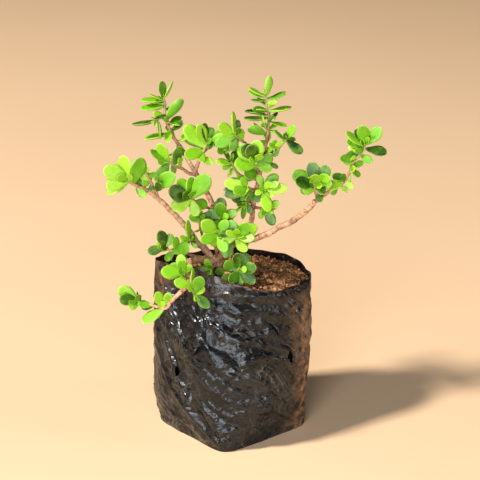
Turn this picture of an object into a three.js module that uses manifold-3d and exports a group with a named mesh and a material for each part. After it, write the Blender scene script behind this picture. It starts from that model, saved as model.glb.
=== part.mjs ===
// A small-leaved jade plant in a nursery grow bag of black film.
// Millimetres, +Z up. The origin is the middle of the bag's base, and the front faces -Y.

import * as THREE from 'three';
import { mergeVertices } from 'three/addons/utils/BufferGeometryUtils.js';
import Module from 'manifold-3d';

const wasm = await Module();
wasm.setup();

const { degToRad, lerp, smoothstep } = THREE.MathUtils;

// ---------------------------------------------------------------- driving dimensions

const clearance = 0.3;          // left between neighbouring pieces

// The bag: a rounded square at the base, rounder at the middle, squashed front to back at the rim.
const film = 1.2;               // wall and floor
const bagFacets = 36;
const cornerAngle = degToRad(-5);   // one of the four corners of the base
const sideAngle = degToRad(40);     // middle of the side next to it
const cornerReach = 60.1;       // from the axis to a corner, at half height
const baseTuck = 3.8;           // less than that at the base
const baseTuckHeight = 38;
const middleSquareness = 2.6;   // exponent of the outline: 2 is round, 10 is nearly square
const baseSquareness = 4.6;
const squashStart = 60;         // height from which the bag narrows front to back
const rimHeight = 125;          // mean height of the rim
const rimSquash = 0.22;
const rimShift = 3;             // the rim's middle lies this far back
const rimTilt = 6.5;            // the rim stands higher at its left front
const rimTiltAngle = degToRad(-165);
const rimSaddle = 2;
const rimSaddleAngle = degToRad(-50);
const rimPushes = [
  { angle: degToRad(45), spread: degToRad(22), push: 9 },
  { angle: degToRad(-150), spread: degToRad(28), push: -8 },
];
const pushStart = 84;
// Broad folds of the film: how many go round, their depth, where they start and how they drift with height.
const folds = [
  { count: 3, depth: 1.1, start: 3.2, drift: 0.055 },
  { count: 4, depth: 0.8, start: -2.8, drift: -0.025 },
];
const soilEdge = 117;           // mean height of the soil at the film
const bagLevels = [0, 4, 14, 30, 52, 76, 94, 106, soilEdge, 122, rimHeight];

const drainRadius = 2.6;
const drainHoles = [
  { angle: degToRad(-136), height: 60 },
  { angle: degToRad(-37), height: 68 },
  { angle: degToRad(47), height: 62 },
  { angle: degToRad(137), height: 66 },
];

// The soil fills the bag to a little below the rim.
const soilCrown = 2;            // rise towards the middle
const soilFall = 0.03;          // fall to the right
const soilRise = 0.05;          // rise towards the back
const soilRings = [0.93, 0.78, 0.62, 0.46, 0.3, 0.15];
// Lumps of the soil: their height, and how fast they come along X and Y.
const soilLumps = [
  { size: 0.6, alongX: 0.31, alongY: 0.1 },
  { size: 0.5, alongX: -0.12, alongY: 0.27 },
  { size: 0.4, alongX: 0.55, alongY: -0.43 },
];
const stemFoot = 84;            // how deep the stems reach into the soil

// Leaves: fleshy, broadest past the middle, a little cupped.
const leafThickness = 0.13;     // share of the length
const leafWidth = 0.66;         // share of the length
const leafCup = 0.06;           // share of the length
const leafRoot = -0.2;          // each leaf starts this far past the middle of its twig
const twigSides = 4;
const twigStep = 6;             // length of a facet along a twig
const twigTip = 1.2;            // each twig runs this far past its last leaves
const branchSides = 6;
const branchStep = 7;           // length of a facet along a branch
const nodeSwelling = 0.14;      // rings left by old leaves, as a share of the radius
const aimScatter = 3;            // degrees
const rollScatter = 10;
const widthScatter = 0.07;      // share of the width
const seedStep = 7919;          // parts the random draws of one shoot from the next

// ---------------------------------------------------------------- woody branches

// Each route runs from its root, sunk in what it grows from, to its end.
const mainStem = [
  { route: [[-10, 4, stemFoot], [-10, 4, 105], [-10, 4, 119], [-11, 3, 134]], radii: [5.6, 4.2] },
  {
    route: [[-11, 3, 128], [-19, 1, 139], [-26, -2, 147], [-32, -6, 158], [-38, -10, 167], [-47, -16, 179],
      [-55, -20, 188], [-59, -21, 192]],
    radii: [2.7, 1.6],
  },
  {
    route: [[-10, 3, 127], [-8, 8, 143], [-9, 9, 155], [-12, 8, 167], [-17, 7, 180], [-22, 6, 190], [-27, 5, 200]],
    radii: [2.6, 1.9],
  },
  { route: [[-27, 5, 199], [-31, 7, 206], [-35, 9, 213]], radii: [1.7, 1.4] },
  {
    route: [[-11, 3, 130], [-3, -1, 143], [7, -5, 148], [21, -8, 153], [35, -8, 160], [46, -8, 166], [55, -8, 173],
      [62, -8, 181]],
    radii: [2.6, 1.9],
  },
  { route: [[61, -8, 180], [69, -5, 185], [77, -3, 190]], radii: [1.6, 1.3] },
  { route: [[-10, 3, 127], [-20, -6, 134], [-26, -12, 137], [-31, -20, 138]], radii: [3, 2.6] },
  { route: [[-30, -18, 138], [-30, -32, 142], [-31, -46, 139], [-30, -59, 133]], radii: [1.9, 1.6] },
];
const secondStem = [
  {
    route: [[8, 23, stemFoot], [9, 22, 105], [9, 20, 131], [12, 17, 144], [15, 15, 160], [17, 12, 176], [20, 9, 191],
      [22, 9, 202], [23, 10, 208]],
    radii: [3.1, 1.5],
  },
];

// ---------------------------------------------------------------- leafy shoots

// leaves: for each, how far along the twig it stands, its direction as seen from the front (degrees, 0 to the
// right and 90 up), its lean towards the front, its length, and where it needs one, a roll about its own axis.
// tilt: how far the shoot's leaves face the front, from 0, where they face up. broad: width over length.
const shoots = [
  {
    name: 'shoot_far_left', tilt: 65, broad: 0.72, radii: [1.6, 1],
    route: [[-58, -21, 191], [-62, -22, 194], [-66, -23, 196], [-71, -25, 199], [-74, -26, 202]],
    leaves: [[0.75, 76, 8, 22], [0.95, 104, 4, 20], [1, 146, 12, 21], [1, 187, 26, 18], [0.95, 213, -5, 20, 30],
      [0.3, 130, -25, 14], [0.45, 250, -50, 14]],
  },
  {
    name: 'shoot_left_limb', tilt: 65, broad: 0.7, radii: [1.2, 0.9],
    route: [[-53, -19, 186], [-56, -19, 194], [-60, -20, 202], [-63, -21, 207]],
    leaves: [[0.3, 42, 8, 20], [0.25, 62, 40, 12], [0.95, 60, 10, 6]],
  },
  {
    name: 'shoot_left_inner', tilt: 60, radii: [1.3, 0.9],
    route: [[-26, 5, 197], [-31, 4, 199], [-37, 2, 203], [-42, 0, 206], [-46, -1, 209]],
    leaves: [[1, 145, 10, 17, 35], [1, 116, 0, 16, -25], [1, 232, 28, 18], [0.75, 76, 2, 16, 50], [0.7, 250, -45, 13]],
  },
  {
    name: 'shoot_left_top', tilt: 12, broad: 0.56, radii: [1.5, 0.8],
    route: [[-34, 8, 211], [-38, 10, 218], [-43, 12, 225], [-47, 13, 233], [-49, 14, 242], [-49, 15, 248],
      [-50, 15, 253]],
    leaves: [[1, 95, 14, 14.5], [0.98, 152, 22, 13], [1, 60, -10, 15, -50], [0.95, 176, 0, 17], [0.9, 183, -26, 15],
      [0.84, 190, 5, 18.5], [0.8, 194, -22, 16], [0.66, 195, 60, 13], [0.58, 52, 8, 21, -75], [0.56, -8, 25, 12],
      [0.5, 30, -40, 14], [0.44, 265, 60, 14], [0.4, 196, 6, 21]],
    fork: {
      tilt: 12, broad: 0.5, radii: [1, 0.8], route: [[-47, 13, 237], [-52, 9, 240], [-55, 6, 239]],
      leaves: [[0.95, 188, 4, 19], [0.9, 277, 8, 15, 80]],
    },
  },
  {
    name: 'shoot_left_crown', tilt: 55, radii: [1.5, 0.9],
    route: [[-27, 5, 200], [-24, 4, 209], [-21, 4, 215], [-18, 3, 222]],
    leaves: [[1, 96, 2, 16, 50], [0.97, 112, 14, 18], [0.85, 131, -4, 22], [0.8, 154, -20, 21, -60],
      [0.74, 188, 34, 17], [0.9, 24, 56, 12], [0.6, 60, -50, 14], [0.7, 255, 50, 10]],
  },
  {
    name: 'shoot_middle_left', tilt: 60, broad: 0.76, radii: [1.2, 0.9],
    route: [[-13, 8, 168], [-19, 3, 173], [-23, -1, 176], [-28, -7, 181], [-30, -10, 184]],
    leaves: [[0.95, 57, 6, 23], [1, 152, 28, 21], [1, 122, -6, 17, 25], [0.95, 93, -16, 16, 50], [0.88, 201, 20, 17],
      [0.85, 285, 25, 13], [0.6, 240, -50, 13]],
  },
  {
    name: 'shoot_middle_low', tilt: 55, radii: [1.1, 0.8],
    route: [[-18, 2, 139], [-21, -1, 148], [-23, -3, 158], [-24, -6, 167]],
    leaves: [[0.66, 172, 62, 11, 50], [1, 100, 5, 11], [1, 20, -10, 10], [0.7, 350, -40, 11]],
  },
  {
    name: 'shoot_limb_spur', tilt: 60, broad: 0.5, radii: [1.2, 1],
    route: [[-27, -3, 148], [-29, -7, 149], [-31, -10, 151]],
    leaves: [[1, 96, 6, 17, 45], [0.9, 320, 45, 9]],
  },
  {
    name: 'shoot_centre_low', tilt: 65, broad: 0.74, radii: [1.4, 0.9],
    route: [[-11, 3, 137], [-12, -3, 145], [-10, -10, 153], [-10, -13, 156]],
    leaves: [[0.95, 187, 30, 15], [1, 300, 30, 14], [0.95, 130, 12, 18], [1, 62, 0, 14], [0.6, 350, -30, 12]],
  },
  {
    name: 'shoot_centre_mid', tilt: 65, broad: 0.74, radii: [1.2, 0.9],
    route: [[-11, 8, 165], [-9, 1, 166], [-7, -5, 166]],
    leaves: [[1, 92, 16, 15], [0.8, 25, 0, 13], [1, 218, 26, 10], [0.6, 85, -25, 15], [0.9, 300, 35, 12]],
  },
  {
    name: 'shoot_centre_front', tilt: 65, broad: 0.72, radii: [1.3, 0.9],
    route: [[1, -3, 144], [2, -9, 150], [4, -15, 156]],
    leaves: [[1, 48, 16, 15], [0.95, 2, 26, 15], [1, 150, 20, 10], [0.85, 108, -12, 14], [0.75, 315, 25, 13],
      [0.8, 26, -24, 19], [0.3, 235, 10, 13]],
  },
  {
    name: 'shoot_foot', tilt: 65, broad: 0.78, radii: [1.6, 0.9],
    route: [[-9, 1, 124], [-3, -7, 124], [3, -14, 127], [6, -17, 131]],
    leaves: [[1, 100, 12, 14], [0.6, 118, 14, 13], [0.95, 14, 16, 14], [0.95, 325, 22, 16], [0.9, 228, 40, 13],
      [0.5, 212, 20, 9], [0.9, 285, 25, 11], [1, 58, -24, 13], [0.85, 160, -20, 12]],
  },
  {
    name: 'shoot_trunk_left', tilt: 55, radii: [1.2, 0.9],
    route: [[-11, 0, 131], [-13, -6, 130], [-15, -12, 129]],
    leaves: [[1, 190, 0, 15], [0.9, 268, 10, 11, 70], [0.6, 205, -20, 11]],
  },
  {
    name: 'shoot_rim_left', tilt: 62, broad: 0.7, radii: [1.4, 0.9],
    route: [[-25, -11, 138], [-36, -11, 142], [-44, -10, 143], [-50, -10, 145]],
    leaves: [[1, 102, 10, 15], [1, 190, 12, 13], [0.85, 140, 42, 9], [0.72, 20, 34, 19], [0.8, 175, -40, 14],
      [0.6, 230, -10, 11]],
  },
  {
    name: 'shoot_over_rim', tilt: 65, broad: 0.72, radii: [1.3, 0.9],
    route: [[-31, -42, 138], [-33, -48, 139], [-34, -52, 140]],
    leaves: [[1, 98, 22, 13], [0.85, 102, -16, 14], [0.95, 172, 14, 17], [0.7, 160, -24, 13]],
  },
  {
    name: 'shoot_spill_right', tilt: 62, broad: 0.7, radii: [1.3, 0.9],
    route: [[-30, -53, 137], [-28, -61, 134], [-26, -66, 129]],
    leaves: [[0.95, 66, 6, 15], [0.5, 158, 16, 14], [0.6, 90, -4, 14, 75], [1, 318, 14, 14]],
  },
  {
    name: 'shoot_spill_left', tilt: 62, broad: 0.7, radii: [1.7, 0.8],
    route: [[-31, -58, 133], [-37, -63, 129], [-43, -64, 123], [-47, -63, 118], [-54, -61, 118], [-61, -59, 120],
      [-67, -56, 121]],
    leaves: [[0.46, 86, 12, 12], [0.56, 108, 10, 14], [0.52, 212, 8, 19], [0.72, 168, 10, 11], [0.7, 196, -25, 11],
      [1, 142, 6, 17], [1, 168, 24, 15], [0.95, 220, -15, 11]],
  },
  {
    name: 'shoot_right_top', tilt: 12, broad: 0.54, radii: [1.5, 0.8],
    route: [[23, 10, 207], [25, 14, 215], [27, 17, 227], [28, 18, 236], [27, 19, 243], [26, 20, 250], [26, 20, 254]],
    leaves: [[1, 84, 8, 16], [0.98, 154, 4, 15], [0.95, 168, -24, 15], [0.86, 180, 10, 12], [0.9, 20, 4, 15.5],
      [0.66, 184, -12, 18], [0.68, 160, 50, 14], [0.7, 46, 14, 10, -70], [0.66, 9, -14, 18.5], [0.58, 172, -28, 15],
      [0.54, 182, 8, 19], [0.34, 108, 18, 15, -20], [0.42, 85, -14, 11, 80], [0.46, 70, 30, 9], [0.48, 345, 6, 14],
      [0.31, 152, 24, 18, 60], [0.3, 142, -18, 14, 60], [0.36, 5, 45, 10], [0.36, 30, -40, 12], [0.2, 325, 20, 12]],
  },
  {
    name: 'shoot_right_side', tilt: 55, broad: 0.56, radii: [1.3, 0.9],
    route: [[22, 9, 199], [28, 6, 208], [36, 3, 220], [40, 2, 225]],
    leaves: [[1, 60, 8, 13], [1, 138, 8, 12, 30], [1, 325, 8, 16], [0.95, 0, -25, 9], [0.6, 150, 30, 10],
      [0.55, 105, 20, 10], [0.65, 235, 24, 9]],
  },
  {
    name: 'shoot_crown_front', tilt: 65, broad: 0.8, radii: [1.4, 1],
    route: [[21, 9, 195], [19, 3, 203], [18, -3, 210]],
    leaves: [[1, 110, 22, 16], [0.95, 84, 4, 17], [0.95, 138, -2, 18], [0.9, 122, 14, 18], [0.7, 172, 14, 17],
      [0.5, 206, 48, 15], [0.4, 42, 20, 10], [0.7, 350, 4, 12]],
  },
  {
    name: 'shoot_inner_left', tilt: 40, radii: [1.3, 0.9],
    route: [[20, 9, 192], [13, 8, 194], [6, 6, 197], [2, 4, 203], [0, 2, 208]],
    leaves: [[0.95, 172, -6, 12], [0.5, 122, 14, 12, 55], [1, 62, -42, 12], [0.75, 240, -30, 11]],
  },
  {
    name: 'shoot_inner_top', tilt: 50, radii: [1.3, 0.9],
    route: [[22, 9, 205], [15, 6, 216], [10, 4, 222], [6, 2, 226], [3, 0, 229]],
    leaves: [[1, 140, 18, 16], [1, 98, -2, 18, 65], [0.97, 78, -20, 12, 20], [0.95, 180, -14, 18, -50],
      [0.86, 197, 12, 18, -20], [0.72, 213, -6, 20]],
  },
  {
    name: 'shoot_drop_left', tilt: 60, broad: 0.74, radii: [1.2, 0.9],
    route: [[19, 10, 184], [15, 3, 187], [12, -3, 190]],
    leaves: [[0.95, 172, -10, 18], [1, 187, 46, 15], [0.8, 190, -4, 20], [0.9, 240, 24, 11, 40]],
  },
  {
    name: 'shoot_stem_left', tilt: 50, radii: [1.1, 0.9],
    route: [[15, 14, 173], [13, 9, 175], [11, 5, 176]],
    leaves: [[1, 216, 4, 16, 55], [1, 256, 6, 13, 50], [0.95, 152, 14, 13]],
  },
  {
    name: 'shoot_drop_right', tilt: 60, radii: [1.2, 0.9],
    route: [[20, 9, 188], [23, 4, 188], [24, -2, 188]],
    leaves: [[0.7, 40, -14, 15], [0.85, 28, 14, 13], [1, 4, 8, 18], [1, 280, 20, 17], [0.9, 262, -10, 13, 60],
      [0.8, 235, 14, 12]],
  },
  {
    name: 'shoot_stem_right', tilt: 60, radii: [1.1, 0.9],
    route: [[18, 12, 170], [23, 8, 171], [26, 3, 173]],
    leaves: [[1, 291, 10, 15], [0.7, 350, -20, 10, 60], [0.6, 255, 0, 9]],
  },
  {
    name: 'shoot_long_end', tilt: 65, broad: 0.78, radii: [1.6, 1],
    route: [[64, -8, 183], [62, -9, 190], [61, -11, 195]],
    leaves: [[0.95, 96, -8, 17], [0.95, 52, -4, 17], [1, 32, 22, 14], [1, 168, 26, 17], [0.9, 152, -14, 19],
      [1, 88, 48, 15], [0.85, 8, 4, 13], [0.7, 340, 34, 10], [0.6, 200, -30, 13]],
  },
  {
    name: 'shoot_long_tip', tilt: 55, radii: [1.4, 0.8],
    route: [[76, -3, 189], [84, -2, 195], [88, -1, 203], [90, 0, 209], [94, 1, 213], [98, 2, 218], [98, 2, 221]],
    leaves: [[1, 94, 16, 17], [0.97, 118, -16, 14], [0.96, 142, 4, 18, 40], [0.92, 162, -12, 14], [1, 47, 4, 18],
      [1, 100, 56, 8], [0.85, 354, 10, 17], [0.84, 180, -10, 12], [0.77, 194, 12, 13], [0.64, 182, 24, 15],
      [0.42, 150, 18, 9], [0.38, 78, 10, 10, 40], [0.38, 22, -14, 10], [0.35, 320, 12, 9], [0.2, 300, 26, 9],
      [0.22, 176, 12, 12], [0.15, 196, 20, 15], [0.12, 140, -20, 10], [0.08, 320, 14, 8]],
  },
];

// ---------------------------------------------------------------- materials

const bagFilm = new THREE.MeshStandardMaterial({ color: 0x1c1c1d, roughness: 0.35, metalness: 0 });
const darkSoil = new THREE.MeshStandardMaterial({ color: 0x6b4430, roughness: 0.95, metalness: 0 });
const bark = new THREE.MeshStandardMaterial({ color: 0x7a5238, roughness: 0.8, metalness: 0 });
const greenLeaf = new THREE.MeshStandardMaterial({ color: 0x6fb52a, roughness: 0.35, metalness: 0 });

// ---------------------------------------------------------------- solids

function solidOf(geometry) {
  const bare = geometry.clone();
  bare.deleteAttribute('normal');
  bare.deleteAttribute('uv');
  const merged = mergeVertices(bare);
  const corners = merged.index.array;
  const triangles = [];
  for (let i = 0; i < corners.length; i += 3) {
    const [a, b, c] = corners.slice(i, i + 3);
    if (a !== b && b !== c && c !== a) {
      triangles.push(a, b, c);
    }
  }
  return new wasm.Manifold(new wasm.Mesh({
    numProp: 3,
    vertProperties: new Float32Array(merged.attributes.position.array),
    triVerts: new Uint32Array(triangles),
  }));
}

function geometryOf(solid) {
  const { vertProperties, triVerts } = solid.getMesh();
  const geometry = new THREE.BufferGeometry();
  geometry.setAttribute('position', new THREE.BufferAttribute(vertProperties, 3));
  geometry.setIndex(new THREE.BufferAttribute(triVerts, 1));
  geometry.computeVertexNormals();
  return geometry;
}

function joined(solids) {
  return solids.reduce((whole, piece) => whole.add(piece));
}

function largestBody(solid) {
  const bodies = solid.decompose();
  return bodies.reduce((largest, body) => (body.volume() > largest.volume() ? body : largest));
}

function named(name, solid, material) {
  const mesh = new THREE.Mesh(geometryOf(solid), material);
  mesh.name = name;
  return mesh;
}

// Moves every vertex of a geometry to place(x, y, z).
function reshaped(geometry, place) {
  const position = geometry.attributes.position;
  for (let i = 0; i < position.count; i += 1) {
    const { x, y, z } = place(position.getX(i), position.getY(i), position.getZ(i), i);
    position.setXYZ(i, x, y, z);
  }
  return geometry;
}

// ---------------------------------------------------------------- bag and soil

function bell(angle, middle, spread) {
  const off = Math.atan2(Math.sin(angle - middle), Math.cos(angle - middle));
  return Math.exp(-((off / spread) ** 2));
}

function rimAt(angle) {
  return rimHeight + rimTilt * Math.cos(angle - rimTiltAngle)
    - rimSaddle * Math.cos(2 * (angle - rimSaddleAngle));
}

// A point of the bag's outside, or of a surface that lies inset from it.
function bagPoint(angle, height, inset) {
  const tuck = (Math.max(0, baseTuckHeight - height) / baseTuckHeight) ** 2;
  const squareness = lerp(middleSquareness, baseSquareness, tuck);
  const corner = cornerReach - baseTuck * tuck;
  const flat = corner / 2 ** (0.5 - 1 / squareness);
  const turned = angle - sideAngle;
  const outline = (Math.abs(Math.cos(turned)) ** squareness
    + Math.abs(Math.sin(turned)) ** squareness) ** (1 / squareness);
  const rise = smoothstep(height, pushStart, rimHeight);
  const pushed = rimPushes.reduce((sum, { angle: middle, spread, push }) => (
    sum + push * rise * bell(angle, middle, spread)), 0);
  const folded = (1 - tuck) * folds.reduce((sum, { count, depth, start, drift }) => (
    sum + depth * Math.sin(count * angle + start + drift * height)), 0);
  const squash = smoothstep(height, squashStart, rimHeight);
  const reach = flat / outline + pushed + folded;
  const x = reach * Math.cos(angle);
  const y = reach * Math.sin(angle) * (1 - rimSquash * squash);
  const inward = 1 - inset / Math.hypot(x, y);
  return new THREE.Vector3(x * inward, y * inward + rimShift * squash, height);
}

// Rows of points round the bag, as a lathed profile whose rings follow bagPoint.
function bagRings(rows, heightOf) {
  const profile = rows.map(({ share, level }) => new THREE.Vector2(share, level));
  const geometry = new THREE.LatheGeometry(profile, bagFacets);
  return reshaped(geometry, (x, y, z, i) => {
    const { share, level, inset } = rows[i % rows.length];
    const angle = cornerAngle + (Math.floor(i / rows.length) % bagFacets) * 2 * Math.PI / bagFacets;
    const place = bagPoint(angle, level, inset);
    place.x *= share;
    place.y = lerp(rimShift * smoothstep(level, squashStart, rimHeight), place.y, share);
    place.z = heightOf(angle, level, share, place);
    return place;
  });
}

// Above the soil, the levels stretch to the rim's own height.
function stretchedHeight(angle, level) {
  return level <= soilEdge ? level : lerp(soilEdge, rimAt(angle), (level - soilEdge) / (rimHeight - soilEdge));
}

function bagShell(thickness) {
  const outside = bagLevels.map((level) => ({ share: 1, level, inset: 0 }));
  const inside = bagLevels.slice(1).reverse().map((level) => ({ share: 1, level, inset: thickness }));
  return solidOf(bagRings([
    { share: 0, level: 0, inset: 0 },
    ...outside,
    ...inside,
    { share: 1, level: thickness, inset: thickness },
    { share: 0, level: thickness, inset: thickness },
  ], stretchedHeight));
}

function makeBag() {
  const holes = drainHoles.map(({ angle, height }) => {
    const hole = new THREE.CylinderGeometry(drainRadius, drainRadius, 8 * film, 8);
    hole.rotateZ(-Math.PI / 2);
    hole.rotateZ(angle);
    const place = bagPoint(angle, height, film / 2);
    hole.translate(place.x, place.y, place.z);
    return solidOf(hole);
  });
  return holes.reduce((cut, hole) => cut.subtract(hole), bagShell(film));
}

function soilSurface(angle, level, share, { x, y }) {
  if (level < soilEdge) {
    return level;
  }
  const lump = soilLumps.reduce((sum, { size, alongX, alongY }) => (
    sum + size * Math.sin(alongX * x + alongY * y)), 0);
  const slope = soilRise * y - soilFall * x;
  return level + slope + soilCrown * (1 - share ** 2) + lump * (1 - share ** 6);
}

// The soil is what the bag would hold, less the film and the clearance to it.
function makeSoil() {
  const inset = film / 2;
  const walls = bagLevels.filter((level) => level > 0 && level <= soilEdge);
  const filling = solidOf(bagRings([
    { share: 0, level: inset, inset },
    { share: 1, level: inset, inset },
    ...walls.map((level) => ({ share: 1, level, inset })),
    ...soilRings.map((share) => ({ share, level: soilEdge, inset })),
    { share: 0, level: soilEdge, inset },
  ], soilSurface));
  return filling.subtract(bagShell(film + clearance)).subtract(stemsAndGap);
}

// ---------------------------------------------------------------- branches

function routeCurve(route) {
  return new THREE.CatmullRomCurve3(route.map(([x, y, z]) => new THREE.Vector3(x, y, z)), false, 'catmullrom');
}

function facetsAlong(curve, step) {
  return Math.max(2, Math.round(curve.getLength() / step));
}

function tube(route, radii, sides, step, extra, tip = extra) {
  const curve = routeCurve(route);
  const steps = facetsAlong(curve, step);
  const frames = curve.computeFrenetFrames(steps);
  return solidOf(reshaped(new THREE.CylinderGeometry(1, 1, 1, sides, steps), (x, y, z) => {
    const ring = Math.round((y + 0.5) * steps);
    const swelling = 1 + nodeSwelling * (ring % 2);
    const radius = lerp(radii[0], radii[1], ring / steps) * swelling + extra;
    const reach = { 0: -extra, [steps]: tip }[ring] ?? 0;
    return curve.getPointAt(ring / steps)
      .addScaledVector(frames.binormals[ring], x * radius)
      .addScaledVector(frames.tangents[ring], reach)
      .addScaledVector(frames.normals[ring], z * radius);
  }));
}

function wood(branches, extra = 0) {
  return joined(branches.map(({ route, radii }) => tube(route, radii, branchSides, branchStep, extra)));
}

// ---------------------------------------------------------------- leaves

// The half width of a leaf along its length, 1 at its broadest.
function leafOutline(along) {
  return 2.7 * along ** 1.1 * (1 - along) ** 0.5;
}

function leafBlade({ root, direction, face, length, width }) {
  const across = new THREE.Vector3().crossVectors(direction, face);
  return solidOf(reshaped(new THREE.SphereGeometry(1, 4, 4), (x, y, z) => {
    const along = (y + 1) / 2;
    const round = Math.max(Math.sqrt(1 - Math.min(1, y * y)), 1e-6);
    const side = (x / round) * leafOutline(along) * width / 2;
    const thick = (z / round) * Math.sqrt(Math.sin(Math.PI * along)) * leafThickness * length / 2;
    const belly = 4 * along * (1 - along) * leafCup * length;
    return root.clone()
      .addScaledVector(direction, lerp(leafRoot, length, along))
      .addScaledVector(across, side)
      .addScaledVector(face, thick - belly);
  }));
}

function seededDraws(seed) {
  let state = seed * seedStep;
  return () => {
    state = (state * 48271) % 2147483647;
    return state / 2147483647;
  };
}

// A leaf turns its face up and, by the shoot's tilt, towards the front.
function leavesOf({ route, leaves, tilt, broad = leafWidth }, seed) {
  const curve = routeCurve(route);
  const draw = seededDraws(seed);
  const scatter = (spread) => spread * (2 * draw() - 1);
  const faced = degToRad(tilt);
  return leaves.map(([at, aim, lean, length, roll = 0]) => {
    const heading = degToRad(aim + scatter(aimScatter));
    const towards = degToRad(lean + scatter(aimScatter));
    const turned = degToRad(roll + scatter(rollScatter));
    const width = length * broad * (1 + scatter(widthScatter));
    const direction = new THREE.Vector3(
      Math.cos(heading) * Math.cos(towards),
      -Math.sin(towards),
      Math.sin(heading) * Math.cos(towards),
    );
    const face = new THREE.Vector3(0, -Math.sin(faced), Math.cos(faced));
    face.addScaledVector(direction, -face.dot(direction)).normalize().applyAxisAngle(direction, turned);
    return { root: pointOnTwig(curve, at), direction, face, length, width };
  });
}

// The point a share of the way along a route, taken on the straight facets of its twig.
function pointOnTwig(curve, share) {
  const steps = facetsAlong(curve, twigStep);
  const lengths = curve.getLengths();
  const ring = steps * lengths[Math.round(share * (lengths.length - 1))] / curve.getLength();
  const facet = Math.min(steps - 1, Math.floor(ring));
  return curve.getPointAt(facet / steps).lerp(curve.getPointAt((facet + 1) / steps), ring - facet);
}

function leafyTwig(shoot, seed) {
  const twig = tube(shoot.route, shoot.radii, twigSides, twigStep, 0, twigTip);
  return joined([twig, ...leavesOf(shoot, seed).map(leafBlade)]);
}

// A shoot ends where it meets the wood that it grows from.
function makeShoot(shoot, seed) {
  const twigs = [leafyTwig(shoot, seed)];
  if (shoot.fork) {
    twigs.push(leafyTwig(shoot.fork, seed + shoots.length));
  }
  return largestBody(joined(twigs).subtract(stemsAndGap));
}

// ---------------------------------------------------------------- the whole plant

const stems = { main_stem: wood(mainStem), second_stem: wood(secondStem) };
const stemsAndGap = wood([...mainStem, ...secondStem], clearance);

const bagGroup = new THREE.Group();
bagGroup.add(named('grow_bag', makeBag(), bagFilm));
bagGroup.add(named('soil', largestBody(makeSoil()), darkSoil));

const plant = new THREE.Group();
for (const [name, solid] of Object.entries(stems)) {
  plant.add(named(name, solid, bark));
}
for (const [place, shoot] of shoots.entries()) {
  plant.add(named(shoot.name, makeShoot(shoot, place + 1), greenLeaf));
}

const pottedJade = new THREE.Group();
pottedJade.add(bagGroup, plant);

export default pottedJade;
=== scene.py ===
"""A small-leaved jade plant in a nursery grow bag of black film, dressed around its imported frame.

Lengths are in metres where Blender takes them, and in millimetres in the lists and the named sizes.
"""
import random
from math import cos, pi, radians, sin, sqrt

import bpy
import numpy as np
from mathutils import Matrix, Vector, kdtree
from mathutils.bvhtree import BVHTree


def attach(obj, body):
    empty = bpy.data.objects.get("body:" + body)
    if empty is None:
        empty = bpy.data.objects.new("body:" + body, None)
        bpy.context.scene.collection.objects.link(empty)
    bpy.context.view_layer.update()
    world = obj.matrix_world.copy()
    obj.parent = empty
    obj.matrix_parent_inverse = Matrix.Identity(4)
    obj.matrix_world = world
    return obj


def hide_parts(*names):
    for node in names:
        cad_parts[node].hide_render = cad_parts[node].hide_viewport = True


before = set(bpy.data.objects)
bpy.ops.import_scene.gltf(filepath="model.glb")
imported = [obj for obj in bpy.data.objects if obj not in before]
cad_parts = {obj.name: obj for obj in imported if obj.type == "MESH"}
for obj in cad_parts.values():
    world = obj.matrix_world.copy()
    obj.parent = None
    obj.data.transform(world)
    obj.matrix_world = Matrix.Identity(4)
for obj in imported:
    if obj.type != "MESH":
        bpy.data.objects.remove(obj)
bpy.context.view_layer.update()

MM = 0.001

# ---- the bag, as the frame has it ----
# Only the corners of its base are crisper here, and its rim waves a little more.

FILM_MM = 0.4                 # the real film is thinner still
SIDE_ANGLE = radians(40)
CORNER_REACH = 60.1
MEAN_REACH = 55
BASE_TUCK = 3.8
BASE_TUCK_HEIGHT = 38
MIDDLE_SQUARENESS = 2.6
BASE_SQUARENESS = 6.8
SQUASH_START = 60
RIM_HEIGHT = 125
RIM_SQUASH = 0.22
RIM_SHIFT = 3
RIM_TILT = 6.5
RIM_TILT_ANGLE = radians(-165)
RIM_SADDLE = 2
RIM_SADDLE_ANGLE = radians(-50)
PUSH_START = 84
SOIL_EDGE = 117
SOIL_CROWN = 2
SOIL_FALL = 0.03
SOIL_RISE = 0.05

# What changes the bag about one direction: degrees round it, spread in radians, and how much.
RIM_PUSHES = [(45, radians(22), 9), (-150, radians(28), -8)]
RIM_RISES = [(-120, 0.5, 5.5), (-58, 0.35, -2), (75, 0.7, 2)]
RIM_LEAN = (-80, 0.8, 2.4)

# Waves: those of the bag's outline, of the soil's surface, and of the film (depth, size and seed).
BROAD_FOLDS = [(3, 1.1, 3.2, 0.055), (4, 0.8, -2.8, -0.025)]
SOIL_LUMPS = [(0.6, 0.31, 0.1), (0.5, -0.12, 0.27), (0.4, 0.55, -0.43)]
FILM_WAVES = [(0.7, 34, 7), (0.5, 18, 8), (0.25, 9, 9)]

# Drainage slots torn in the film: angle round the bag, height, half width and half height.
DRAIN_SLOTS = [(-138, 57, 2.3, 3.6), (-36, 67, 2.5, 4.6), (47, 62, 2.1, 3.2), (137, 66, 1.9, 3.8)]

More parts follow.
